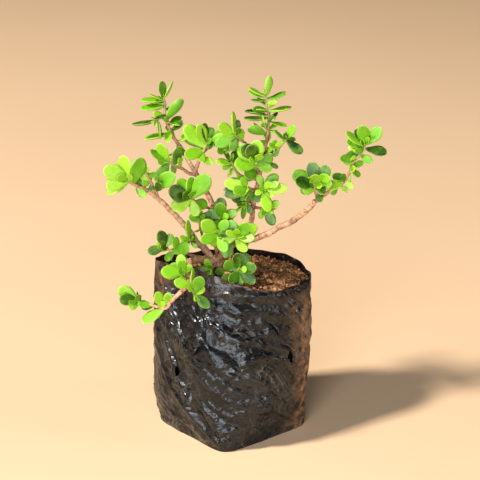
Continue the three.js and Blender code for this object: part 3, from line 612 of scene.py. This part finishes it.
def tear_slots(bag):
    """Cuts the drainage slots through the film and curls their edges outwards."""
    mesh = bag.data
    angle, radius, height = round_axis(points_of(mesh) / MM)
    torn = np.zeros(len(mesh.polygons), dtype=bool)
    corners = [tuple(polygon.vertices) for polygon in mesh.polygons]
    for degrees, middle_height, half_width, half_height in DRAIN_SLOTS:
        away = turned_from(degrees, angle)
        across = away * radius / half_width
        up = (height - middle_height) / half_height
        ragged = 1 + 0.14 * np.sin(3 * np.arctan2(up, across) + degrees)
        off = np.where(height > 20, np.hypot(across, up) / ragged, 99)
        near = set(np.nonzero(off < 3)[0].tolist())
        for place, polygon in enumerate(corners):
            if near.issuperset(polygon) and np.mean(off[list(polygon)]) < 1.1:
                torn[place] = True
        inner = {v for place in np.nonzero(torn)[0] for v in corners[place]} & near
        outer = {v for place, polygon in enumerate(corners) if not torn[place] for v in polygon}
        for v in inner & outer:
            off_here = max(off[v], 0.2)
            angle[v] = radians(degrees) + away[v] / off_here
            height[v] = middle_height + up[v] / off_here * half_height
            off[v] = 1
        radius = radius + 0.8 * np.exp(-((off - 1) / 0.6) ** 2) * (off < 3)
    move_points(mesh, np.stack([radius * np.cos(angle), radius * np.sin(angle), height], axis=1) * MM)
    only(bag)
    bpy.ops.object.mode_set(mode="EDIT")
    bpy.ops.mesh.select_all(action="DESELECT")
    bpy.ops.object.mode_set(mode="OBJECT")
    mesh.polygons.foreach_set("select", torn)
    bpy.ops.object.mode_set(mode="EDIT")
    bpy.ops.mesh.delete(type="FACE")
    bpy.ops.object.mode_set(mode="OBJECT")


def make_bag():
    """The open bag, with its slots, its film's thickness, and painted brown light at its left corner, right
    flank and rim.
    """
    around, rows = ((260, 108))
    bag = rolled_grid("bag_film", around, rows, film_profile)
    bag = settle(bag)
    tear_slots(bag)
    points = points_of(bag.data) / MM
    angle, _, height = round_axis(points)
    # Painted light, kept in the brown attribute: light shining through the thin film at the left corner, a
    # painted brown reflection on the right flank, and a painted highlight along the rim.
    corner = bell(angle, -170, 0.12) * ease(height, 84, 128)
    right = bell(angle, -14, 0.24) * ease(height, 120, 90)
    rim = 0.08 * ease(height, 112, 124) * (0.5 + 0.5 * swell(points, 26, 3))
    write_attribute(bag.data, "brown", np.clip(corner + right + rim, 0, 1))
    finish_modifier(bag, "SOLIDIFY", thickness=FILM_MM * MM, offset=-1, use_rim=True)
    return smooth(bag, 60)


# ---- soil ----


def soil_height(x, y, share):
    lump = sum(size * np.sin(along_x * x + along_y * y) for size, along_x, along_y in SOIL_LUMPS)
    crown = SOIL_CROWN * (1 - share ** 2)
    return SOIL_EDGE + SOIL_RISE * y - SOIL_FALL * x + crown + lump * (1 - share ** 6)


def edge_height(angle):
    """The height at which the soil meets the film."""
    reach = bag_reach(angle, SOIL_EDGE)
    y = reach * np.sin(angle) * (1 - RIM_SQUASH) + RIM_SHIFT
    return soil_height(reach * np.cos(angle), y, 1)


def middle_at(height):
    """How far back the bag's middle lies at a height."""
    return RIM_SHIFT * ease(height, SQUASH_START, RIM_HEIGHT)


class Inside:
    """Finds how far the inside of the film lies from the bag's axis, at its nearest about a place."""

    def __init__(self, bag):
        self.tree = BVHTree.FromObject(bag, bpy.context.evaluated_depsgraph_get())
        self.known = {}

    def ray(self, angle, height):
        start = Vector((0, middle_at(height) * MM, height * MM))
        hit = self.tree.ray_cast(start, Vector((cos(angle), sin(angle), 0)))
        nominal = float(bag_reach(angle, height)) - 4
        return min(hit[3] / MM, nominal + 8) if hit[0] is not None else nominal

    def reach(self, angle, height):
        place = (round(angle, 3), round(height, 1))
        if place not in self.known:
            about = [(0, 0), (0.02, 0), (-0.02, 0), (0, 1.2), (0, -1.2)]
            self.known[place] = min(self.ray(angle + turn, height + rise) for turn, rise in about)
        return self.known[place]


def make_soil(inside):
    """The soil: its side follows the film, a little inside it, and its surface is crumbly."""
    around, rows = ((220, 150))
    side, top = 0.08, 0.4

    def profile(angle, run):
        level, share = round_body(run, side, top, 3, edge_height(angle))
        gap = mix(3.2, 0.5, ease(level, 100, 114))
        reach = np.array([inside.reach(a, z) for a, z in zip(angle, level)]) - gap
        x, y = reach * np.cos(angle) * share, middle_at(level) + reach * np.sin(angle) * share
        points = np.stack([x, y, level], axis=1)
        crumbly = 0.9 * swell(points, 9, 21) + 0.6 * np.abs(swell(points, 5, 22))
        crumbly += 0.4 * swell(points, 2.6, 23)
        surface = soil_height(x, y, share) + crumbly * ease(1 - share, 0, 0.06)
        points[:, 2] = np.where(run >= top, surface, level)
        return points

    soil = rolled_grid("potting_soil", around, rows, profile)
    # Painted shade: the soil's side below its surface is made nearly black, as the shade inside the bag.
    write_attribute(soil.data, "painted_deep_shade", ease(points_of(soil.data)[:, 2] / MM, 108, 98))
    return smooth(soil)


def make_crumbs(inside):
    """Loose crumbs that lie on the soil."""
    draw = random.Random(5)
    bpy.ops.mesh.primitive_ico_sphere_add(subdivisions=1, radius=1, location=(0, 0, 0))
    crumbs = named("soil_crumbs")
    shape = points_of(crumbs.data)
    corners = [tuple(polygon.vertices) for polygon in crumbs.data.polygons]
    points, faces, tone = [], [], []
    for _ in range(1150):
        angle = draw.uniform(-pi, pi)
        share = sqrt(draw.random())
        size = 0.5 + 1.7 * draw.random() ** 3
        edge = float(edge_height(angle))
        reach = (inside.reach(angle, edge) - 0.6 - size) * share
        x, y = reach * cos(angle), middle_at(edge) + reach * sin(angle)
        z = soil_height(x, y, share) + 0.35 * size + draw.uniform(0, 0.9)
        turned = draw.uniform(0, 6.28)
        axis = Vector((draw.gauss(0, 1), draw.gauss(0, 1), 1)).normalized()
        uneven = np.array([[draw.uniform(0.65, 1.25)] for _ in range(len(shape))])
        flat = [size, size * draw.uniform(0.6, 1), size * draw.uniform(0.5, 0.9)]
        lump = (shape * uneven * flat) @ np.array(Matrix.Rotation(turned, 3, axis)).T
        faces += [tuple(len(points) + v for v in corner) for corner in corners]
        points += ((lump + [x, y, z]) * MM).tolist()
        tone += [draw.random() ** 1.6] * len(shape)
    crumbs.data.clear_geometry()
    crumbs.data.from_pydata(points, [], faces)
    write_attribute(crumbs.data, "tone", tone)
    return smooth(crumbs, 35)


# ---- branches ----


def point_at(route, place):
    """The point at a share of the way along a route's spans, on the smooth curve through its points."""
    given = [np.array(point, dtype=float) for point in route]
    given = [2 * given[0] - given[1], *given, 2 * given[-1] - given[-2]]
    spans = len(route) - 1
    span = min(int(place * spans), spans - 1)
    share = place * spans - span
    p0, p1, p2, p3 = given[span:span + 4]
    t0, t1 = (p2 - p0) / 2, (p3 - p1) / 2
    s2, s3 = share * share, share ** 3
    return (2 * s3 - 3 * s2 + 1) * p1 + (s3 - 2 * s2 + share) * t0 + (3 * s2 - 2 * s3) * p2 + (s3 - s2) * t1


def smooth_route(route):
    """Points a small step apart along the curve through a route, and their distances along it."""
    fine = np.array([point_at(route, place) for place in np.linspace(0, 1, 24 * (len(route) - 1) + 1)])
    length = np.concatenate([[0], np.cumsum(np.linalg.norm(np.diff(fine, axis=0), axis=1))])
    wanted = np.linspace(0, length[-1], max(3, round(length[-1] / ROUTE_STEP) + 1))
    return np.stack([np.interp(wanted, length, fine[:, axis]) for axis in range(3)], axis=1), wanted


def rod(name, route, radii, seed, sides, node_step, swelling, tip=0.0):
    """A branch as a bevelled curve made a mesh: slightly crooked, and ringed where leaves once stood."""
    points, along = smooth_route(route)
    if tip:
        ahead = points[-1] - points[-2]
        points = np.vstack([points, points[-1] + ahead / np.linalg.norm(ahead) * tip])
        along = np.append(along, along[-1] + tip)
    points = points + CROOKEDNESS * np.stack([swell(points, 11, seed + axis) for axis in range(3)], axis=1)
    ring = np.exp(-((np.mod(along + node_step / 2, node_step) - node_step / 2) / 0.9) ** 2)
    radius = mix(*radii, along / along[-1]) * (0.97 + swelling * ring)
    curve = bpy.data.curves.new(name, "CURVE")
    set_all(curve, dimensions="3D", bevel_depth=MM, bevel_resolution=sides // 2 - 2, use_fill_caps=True)
    spline = curve.splines.new("POLY")
    spline.points.add(len(points) - 1)
    for knot, place, width in zip(spline.points, points, radius):
        knot.co = (*(place * MM), 1)
        knot.radius = width
    only(put(name, curve))
    bpy.ops.object.convert(target="MESH")
    return named(name)


def make_stem(name, branches, seed):
    """The branches grown together, with ridged bark and the rings of old leaves."""
    stem = join(name, [rod(f"{name}_{place}", route, radii, seed + place, **STEM_BARK)
                       for place, (radii, _, route) in enumerate(branches)])
    finish_modifier(stem, "REMESH", mode="VOXEL", voxel_size=0.5 * MM)
    finish_modifier(stem, "SMOOTH", factor=0.5, iterations=2)
    points = points_of(stem.data) / MM
    marks = [(*mark, pale) for _, pale, route in branches for mark in zip(*smooth_route(route))]
    tree = kdtree.KDTree(len(marks))
    for place, mark in enumerate(marks):
        tree.insert(mark[0], place)
    tree.balance()
    nearest = [marks[tree.find(point)[1]] for point in points]
    axis, along, pale = (np.array(values) for values in zip(*nearest))
    out = points - axis
    reach = np.maximum(np.linalg.norm(out, axis=1), 0.2)
    ridges = 0.2 * np.abs(swell(points * [1, 1, 0.45], 2.6, seed + 40)) + 0.13 * swell(points, 6, seed + 41)
    grooves = 0.1 * np.sin(along * 2 * pi / 1.9 + 1.3 * swell(points, 7, seed + 42))
    lift = (ridges - 0.1 + grooves) * np.clip(reach / 3, 0.35, 1.2)
    points = points + out * (lift / reach)[:, None]
    move_points(stem.data, points * MM)
    write_attribute(stem.data, "pale", pale + 0.25 * swell(points, 14, seed + 43))
    write_attribute(stem.data, "along", along * MM)
    return smooth(stem)


# ---- leaves and twigs ----


def master_leaf():
    """One leaf as a unit: X across, Y from its root to its tip, Z out of its upper face."""
    bpy.ops.mesh.primitive_uv_sphere_add(segments=8, ring_count=9, radius=1, location=(0, 0, 0))
    leaf = named("master_leaf")
    ball = points_of(leaf.data)
    along = np.clip((ball[:, 2] + 1) / 2, 0, 1)
    spread = np.sqrt(np.maximum(1 - ball[:, 2] ** 2, 1e-9))
    side, top = ball[:, 0] / spread, ball[:, 1] / spread
    layer = leaf.data.uv_layers.active.data
    for loop in leaf.data.loops:
        layer[loop.index].uv = ((side[loop.vertex_index] + 1) / 2, along[loop.vertex_index])
    write_attribute(leaf.data, "upper", (top + 1) / 2)
    outline = np.sqrt(4 * along * (1 - along)) * (0.5 + 0.56 * ease(along, 0, 0.7))
    thick = np.sqrt(np.sin(pi * along)) * np.where(top > 0, 0.42, 0.58) * top
    move_points(leaf.data, np.stack([side * outline, along, thick], axis=1))
    return leaf


def seeded_draws(seed):
    """Even draws from 0 to 1, the same ones that the frame's leaves have."""
    state = seed * SEED_STEP
    while True:
        state = state * DRAW_FACTOR % DRAW_RANGE
        yield state / DRAW_RANGE


def squared(face, direction):
    """A face turned so that it is square to a direction."""
    return (face - direction * face.dot(direction)).normalized()


def leaves_of(tilt, broad, route, leaves, seed):
    """Each leaf's root, direction, face, length and width."""
    draws = seeded_draws(seed)

    def scatter(spread):
        return spread * (2 * next(draws) - 1)

    faced = radians(tilt)
    for at, aim, lean, length, *roll in leaves:
        heading = radians(aim + scatter(AIM_SCATTER))
        towards = radians(lean + scatter(AIM_SCATTER))
        turned = radians((roll[0] if roll else 0) + scatter(ROLL_SCATTER))
        width = length * broad * (1 + scatter(WIDTH_SCATTER))
        direction = Vector((cos(heading) * cos(towards), -sin(towards), sin(heading) * cos(towards)))
        face = squared(Vector((0, -sin(faced), cos(faced))), direction)
        face = Matrix.Rotation(turned, 3, direction) @ face
        yield Vector(point_at(route, at)), direction, face, length, width


def young_leaves(route, draw):
    """The small leaves that open at the end of a twig."""
    end = Vector(point_at(route, 1))
    ahead = (end - Vector(point_at(route, 0.85))).normalized()
    across = Matrix.Rotation(draw.uniform(0, pi), 3, ahead) @ ahead.orthogonal().normalized()
    for pair, (size, spread) in enumerate([(6.5, 52), (4.2, 28)]):
        for half in range(2):
            outward = Matrix.Rotation(pi * half + 1.57 * pair, 3, ahead) @ across
            angle = radians(spread + draw.uniform(-9, 9))
            direction = (ahead * cos(angle) + outward * sin(angle)).normalized()
            length = size * draw.uniform(0.8, 1.15)
            root = end + ahead * (0.3 + 0.9 * pair)
            yield root, direction, squared(ahead, direction), length, length * 0.62


def place_leaf(name, master, draw, root, direction, face, length, width):
    """A copy of the master leaf with its own cup, twist and unevenness."""
    leaf = put(name, master.data.copy())
    side, along, thick = points_of(leaf.data).T
    hollow = draw.uniform(0.04, 0.16)
    curve = draw.uniform(-0.5, 0.5) * 0.12
    twist = radians(draw.uniform(-14, 14)) * along
    belly = -4 * along * (1 - along) * LEAF_CUP * length * draw.uniform(0.7, 1.3)
    x = side * width * 0.42
    folded = np.abs(side) ** 1.3 + 0.2 * np.sin(5 * along + 7 * hollow) * side
    z = thick * LEAF_THICKNESS * length + hollow * width * folded
    x, z = x * np.cos(twist) - z * np.sin(twist), x * np.sin(twist) + z * np.cos(twist)
    x = x + curve * length * (along ** 2 - along)
    shape = np.stack([x, mix(LEAF_ROOT, length, along), z + belly], axis=1)
    placed = shape @ np.array([direction.cross(face), direction, face]) + np.array(root)
    move_points(leaf.data, placed * MM)
    write_attribute(leaf.data, "tone", draw.random())
    write_attribute(leaf.data, "young", np.clip((11 - length) / 6, 0, 1))
    return leaf


def make_shoot(name, seed, master, leaf_finish, twig_finish):
    """A leafy twig, with its fork if it has one: one piece of leaves and one of wood."""
    node = "shoot_" + name
    draw = random.Random(seed * 31)
    leaves, twigs = [], []
    arms = [(seed, SHOOTS[name])]
    if name in FORKS:
        arms.append((seed + len(SHOOTS), FORKS[name]))
    for arm_seed, (tilt, broad, radii, route, large, small) in arms:
        for leaf in [*leaves_of(tilt, broad, route, large, arm_seed),
                     *leaves_of(tilt, broad, route, small, arm_seed + 90), *young_leaves(route, draw)]:
            leaves.append(place_leaf(f"{node}_leaf_{len(leaves)}", master, draw, *leaf))
        twigs.append(rod(f"{node}_rod_{len(twigs)}", route, radii, arm_seed, **TWIG_BARK))
    foliage = smooth(join(node + "_leaves", leaves))
    twig = smooth(join(node + "_twig", twigs))
    route = np.array(SHOOTS[name][3])
    run = route[-1] - route[0]
    share = (points_of(twig.data) / MM - route[0]) @ run / (run @ run)
    write_attribute(twig.data, "tipward", np.clip(share, 0, 1))
    write_attribute(twig.data, "ruddy", RUDDY.get(name, 0.3))
    dress(foliage, "leaf", leaf_finish, stands_for=[node])
    dress(twig, "bark", twig_finish)


# ---- finishes ----


def rgb(*shown):
    """A colour as a screen shows it, 0 to 255, made linear."""
    return (*(((value / 255 + 0.055) / 1.055) ** 2.4 if value > 10 else value / 3294.6
              for value in shown), 1)


class Finish:
    """A material whose nodes are added one by one, each returning the socket that it gives."""

    def __init__(self, name):
        self.material = bpy.data.materials.new(name)
        self.material.use_nodes = True
        self.tree = self.material.node_tree
        self.place = self.add("TexCoord", "Object")

    def add(self, kind, gives, inputs=None, **settings):
        node = self.tree.nodes.new("ShaderNode" + kind)
        set_all(node, **settings)
        for socket, value in (inputs or {}).items():
            self.feed(node.inputs[socket], value)
        return node.outputs[gives]

    def feed(self, socket, value):
        if isinstance(value, bpy.types.NodeSocket):
            self.tree.links.new(value, socket)
        else:
            socket.default_value = value

    def attribute(self, name):
        return self.add("Attribute", "Fac", attribute_name=name)

    def noise(self, scale, detail=3, place=None, rough=0.55):
        inputs = {"Vector": place or self.place, "Scale": scale, "Detail": detail, "Roughness": rough}
        return self.add("TexNoise", "Fac", inputs)

    def cells(self, scale, place=None, feature="F1"):
        return self.add("TexVoronoi", "Distance", {"Vector": place or self.place, "Scale": scale},
                        feature=feature)

    def level(self, value, low, high, to_low=0.0, to_high=1.0):
        """A value between two bounds, stretched to the two others."""
        return self.add("MapRange", "Result", {0: value, 1: low, 2: high, 3: to_low, 4: to_high})

    def math(self, kind, first, second):
        return self.add("Math", "Value", {0: first, 1: second}, operation=kind)

    def coats(self, first, *layers):
        """Colours laid over one another, each with its share before its red, green and blue."""
        colour = rgb(*first)
        for share, *shade in layers:
            colour = self.add("Mix", 2, {0: share, 6: colour, 7: rgb(*shade)}, data_type="RGBA")
        return colour

    def warped(self, scale, amount):
        """The object's coordinates pushed about by noise, so that what follows them is irregular."""
        push = self.add("TexNoise", "Color", {"Vector": self.place, "Scale": scale, "Detail": 2})
        centred = self.add("VectorMath", "Vector", {0: push, 1: (0.5, 0.5, 0.5)}, operation="SUBTRACT")
        scaled = self.add("VectorMath", "Vector", {0: centred, "Scale": amount}, operation="SCALE")
        return self.add("VectorMath", "Vector", {0: self.place, 1: scaled}, operation="ADD")

    def relief(self, *layers):
        """The normal that several heights give together, each with its depth and its strength."""
        under = {}
        for height, depth, strength in layers:
            inputs = {"Height": height, "Distance": depth, "Strength": strength, **under}
            under = {"Normal": self.add("Bump", "Normal", inputs)}
        return under["Normal"]

    def give(self, colour, rough, specular, **more):
        """The material, once its shader has these values."""
        sockets = {"Base Color": colour, "Roughness": rough, "Specular IOR Level": specular, **more}
        for name, value in sockets.items():
            self.feed(self.tree.nodes["Principled BSDF"].inputs[name.replace("_", " ")], value)
        return self.material


def black_film():
    """Black polythene: glossy, finely creased all over, lightly dusted, with whitish lines along its creases
    that are partly whitened film and partly painted highlight, and painted brown light in a few places.
    """
    film = Finish("black_film")
    pushed = film.warped(30, 0.014)
    regions = film.noise(26, 2)
    one_side = film.level(regions, 0.42, 0.58)
    other_side = film.level(regions, 0.58, 0.42)
    glint_patches = film.level(film.noise(45, 2), 0.47, 0.6)
    dusty = film.level(film.noise(28, 6, rough=0.65), 0.5, 0.8, 0, 0.05)
    dust_and_crease_glints = film.math("ADD", dusty, film.level(film.noise(520, 3, rough=0.7), 0.66, 0.74, 0, 0.14))
    creases = []
    # Crease layers: turn, scale, stretch, bump depth, brightness of the whitish crease lines (partly painted
    # highlight), and patches.
    for turn, scale, length, depth, glint_whiteness, patches in [
            ((0.3, -0.9, 0.2), 48, 1.8, 0.0056, 0.1, one_side),
            ((-0.2, 1.1, 0.3), 85, 2.4, 0.0034, 0.14, other_side),
            ((0.2, -0.75, 0.1), 150, 9, 0.0019, 0.3, other_side),
            ((0.1, 1.35, -0.2), 210, 6, 0.0009, 0.08, one_side)]:
        mapping = {"Vector": pushed, "Rotation": turn, "Scale": (1.0, 1.0, length)}
        drawn = film.add("Mapping", "Vector", mapping, vector_type="TEXTURE")
        facets = film.cells(scale, drawn, "DISTANCE_TO_EDGE")
        creases.append((film.math("MULTIPLY", facets, film.level(patches, 0, 1, 0.15, 1)), depth, 1.0))
        # Whitish lines on the crease edges: partly film whitened where it is creased, partly painted
        # highlight for glints on fine creases.
        worn = film.math("MULTIPLY", patches, glint_patches)
        crease_glint_line = film.math("MULTIPLY", film.level(facets, 0.04, 0, 0, glint_whiteness), worn)
        dust_and_crease_glints = film.math("MAXIMUM", crease_glint_line, dust_and_crease_glints)
    streaks = film.level(film.noise(130, 5, pushed, 0.65), 0.38, 0.62)
    # Painted light: the brown attribute carries light through the thin film at the left corner, a painted
    # reflection on the right flank and a painted highlight along the rim.
    brown = film.math("MULTIPLY", film.attribute("brown"), streaks)
    colour = film.coats((9, 9, 11), (dust_and_crease_glints, 150, 145, 140), (brown, 134, 96, 66))
    rough = film.level(film.noise(60, 5), 0.35, 0.7, 0.24, 0.38)
    return film.give(colour, rough, 0.42, Normal=film.relief(*creases), Specular_Tint=(0.86, 0.93, 1.0, 1))


def brown_soil(name, loose):
    """Potting soil with dark grains and pale fibres, and painted shade, nearly black, on its side below the
    surface. Where it is loose, each crumb has its own tone.
    """
    soil = Finish(name)
    grain = soil.noise(420, 6, rough=0.7)
    tone = soil.attribute("tone") if loose else soil.level(soil.noise(150, 5), 0.35, 0.7)
    fibre = soil.level(soil.noise(260, 3, soil.warped(90, 0.02)), 0.6, 0.68, 0, 0.6)
    # The last coat is painted shade: nearly black on the soil's side below its surface.
    colour = soil.coats(
        (132, 88, 54), (tone, 230, 170, 118), (soil.level(grain, 0.42, 0.58, 0, 0.85), 50, 28, 17),
        (fibre, 206, 160, 116), (soil.attribute("painted_deep_shade"), 12, 8, 6))
    normal = soil.relief((soil.cells(330), 0.0016, 0.8), (grain, 0.0014, 1.0))
    return soil.give(colour, 0.92, 0.2, Normal=normal)


def old_bark():
    """Brown bark with ochre where it is rubbed, ringed by the scars of old leaves."""
    bark = Finish("old_bark")
    long_grain = bark.noise(220, 6, bark.warped(160, 0.004), 0.65)
    uneven = bark.math("MULTIPLY", bark.noise(90, 2), 0.004)
    along = bark.add("CombineXYZ", "Vector", {"X": bark.attribute("along"), "Y": uneven})
    rings = bark.add("TexWave", "Fac", {"Vector": along, "Scale": 62, "Distortion": 1.2, "Detail": 2})
    cracks = bark.noise(420, 4, bark.warped(200, 0.003), 0.6)
    colour = bark.coats(
        (88, 58, 42), (bark.level(long_grain, 0.36, 0.6), 186, 144, 112),
        (bark.level(bark.noise(70, 4), 0.5, 0.68, 0, 0.65), 190, 118, 64),
        (bark.level(bark.attribute("pale"), 0.2, 0.9, 0, 0.55), 210, 170, 134),
        (bark.level(cracks, 0.58, 0.68, 0, 0.75), 58, 38, 30),
        (bark.level(rings, 0.82, 0.98, 0, 0.4), 74, 48, 36))
    normal = bark.relief((long_grain, 0.0011, 0.9), (rings, 0.0003, 0.4))
    return bark.give(colour, bark.level(long_grain, 0.3, 0.7, 0.62, 0.85), 0.3, Normal=normal)


def young_bark():
    """The twigs: green at their ends, and pinkish brown behind them."""
    bark = Finish("young_bark")
    grain = bark.noise(320, 5, rough=0.6)
    colour = bark.coats(
        (160, 112, 84), (bark.attribute("ruddy"), 210, 152, 130),
        (bark.level(grain, 0.45, 0.68), 100, 58, 40),
        (bark.level(bark.attribute("tipward"), 0.55, 1, 0, 0.8), 128, 150, 62))
    return bark.give(colour, 0.55, 0.4, Normal=bark.relief((grain, 0.0003, 0.7)))


def waxy_leaf():
    """A fleshy leaf: glossy green, a duller green beneath that is partly painted shade, paler along its thin
    margin, each leaf a little different.
    """
    leaf = Finish("waxy_leaf")
    tone = leaf.attribute("tone")
    mottle = leaf.noise(130, 4, rough=0.6)
    worn = leaf.level(leaf.noise(300, 5, rough=0.7), 0.4, 0.62, 0, 0.3)
    unrolled = {0: leaf.add("UVMap", "UV", uv_map="UVMap")}
    across, along = (leaf.add("SeparateXYZ", axis, unrolled) for axis in ("X", "Y"))
    sideways = leaf.math("ABSOLUTE", leaf.math("SUBTRACT", across, 0.5), 0)
    edges = (leaf.level(sideways, 0.41, 0.5, 0, 0.42), leaf.level(along, 0.93, 1, 0, 0.42))
    colour = leaf.coats(
        (18, 58, 3), (leaf.level(tone, 0.1, 0.5), 92, 156, 8), (leaf.level(tone, 0.5, 0.9), 138, 186, 34),
        (leaf.level(mottle, 0.4, 0.7, 0, 0.35), 136, 184, 44),
        (leaf.math("MULTIPLY", leaf.level(tone, 0.92, 0.97), worn), 180, 206, 122),
        (leaf.level(leaf.attribute("young"), 0, 1, 0, 0.35), 140, 190, 34),
        # Undersides: partly their own duller green, partly painted shade.
        (leaf.level(leaf.attribute("upper"), 0.62, 0.2, 0, 0.4), 70, 124, 28),
        (leaf.math("MAXIMUM", *edges), 194, 212, 98),
        (leaf.level(along, 0.14, 0.02, 0, 0.3), 176, 176, 88))
    rough = leaf.level(leaf.noise(240, 3), 0.35, 0.7, 0.32, 0.5)
    normal = leaf.relief((mottle, 0.0005, 0.6), (leaf.noise(1400, 2), 0.00006, 0.5))
    return leaf.give(colour, rough, 0.36, Normal=normal, Subsurface_Weight=0.12,
                     Subsurface_Radius=(0.6, 1.0, 0.15), Subsurface_Scale=0.002)


# ---- stage ----


def make_stage():
    bpy.ops.mesh.primitive_plane_add(size=24, location=(0, 0, -0.0004))
    floor = named("studio_floor")
    paint = Finish("pale_floor")
    tone = paint.coats((224, 192, 158), (paint.level(paint.noise(1.2, 2), 0.3, 0.7), 229, 198, 165))
    floor.data.materials.append(paint.give(tone, 0.7, 0.2))


def make_lights():
    """Area lights that face the plant, each with its place, width, height, power and colour."""
    plant = Vector((0, 0, 0.13))
    for name, place, width, height, power, colour in [
            ("key", (-3.3, -1.5, 3.9), 0.6, 0.6, 450, (1.0, 0.93, 0.82)),
            ("window", (-0.6, -2.5, 1.6), 0.9, 1.4, 38, (0.94, 0.97, 1.0)),
            ("horizon", (-0.2, -5.0, 0.5), 5.6, 0.88, 256, (0.94, 0.97, 1.0)),
            ("side", (2.4, -0.5, 1.0), 0.7, 0.7, 12, (1.0, 0.9, 0.8))]:
        bpy.ops.object.light_add(type="AREA", location=place)
        lamp = named(name)
        set_all(lamp.data, shape="RECTANGLE", size=width, size_y=height, energy=power, color=colour)
        lamp.rotation_euler = (plant - Vector(place)).to_track_quat("-Z", "Y").to_euler()
    world = bpy.data.worlds.new("warm_room")
    world.use_nodes = True
    sky = world.node_tree.nodes["Background"].inputs
    sky["Color"].default_value = (1.0, 0.93, 0.85, 1)
    sky["Strength"].default_value = 0.035
    bpy.context.scene.world = world
    bpy.context.scene.view_settings.view_transform = "Standard"


def make_camera():
    data = bpy.data.cameras.new("camera")
    set_all(data, sensor_width=36, lens=114.98)
    camera = put("camera", data)
    set_all(camera, location=(0.0064, -1.0906, 0.5129), rotation_euler=(radians(90 - 18.5), 0, 0))
    bpy.context.scene.camera = camera


# ---- the whole plant ----

make_camera()
make_lights()
make_stage()

bag = make_bag()
dress(bag, "bag_film", black_film(), stands_for=["grow_bag"])
inside = Inside(bag)
dress(make_soil(inside), "soil", brown_soil("packed_soil", False), stands_for=["soil"])
dress(make_crumbs(inside), "soil", brown_soil("loose_soil", True))

bark_finish = old_bark()
dress(make_stem("main_stem_wood", MAIN_STEM, 60), "bark", bark_finish, stands_for=["main_stem"])
dress(make_stem("second_stem_wood", SECOND_STEM, 80), "bark", bark_finish, stands_for=["second_stem"])

leaf_finish = waxy_leaf()
twig_finish = young_bark()
master = master_leaf()
for place, name in enumerate(SHOOTS):
    make_shoot(name, place + 1, master, leaf_finish, twig_finish)
bpy.data.objects.remove(master)
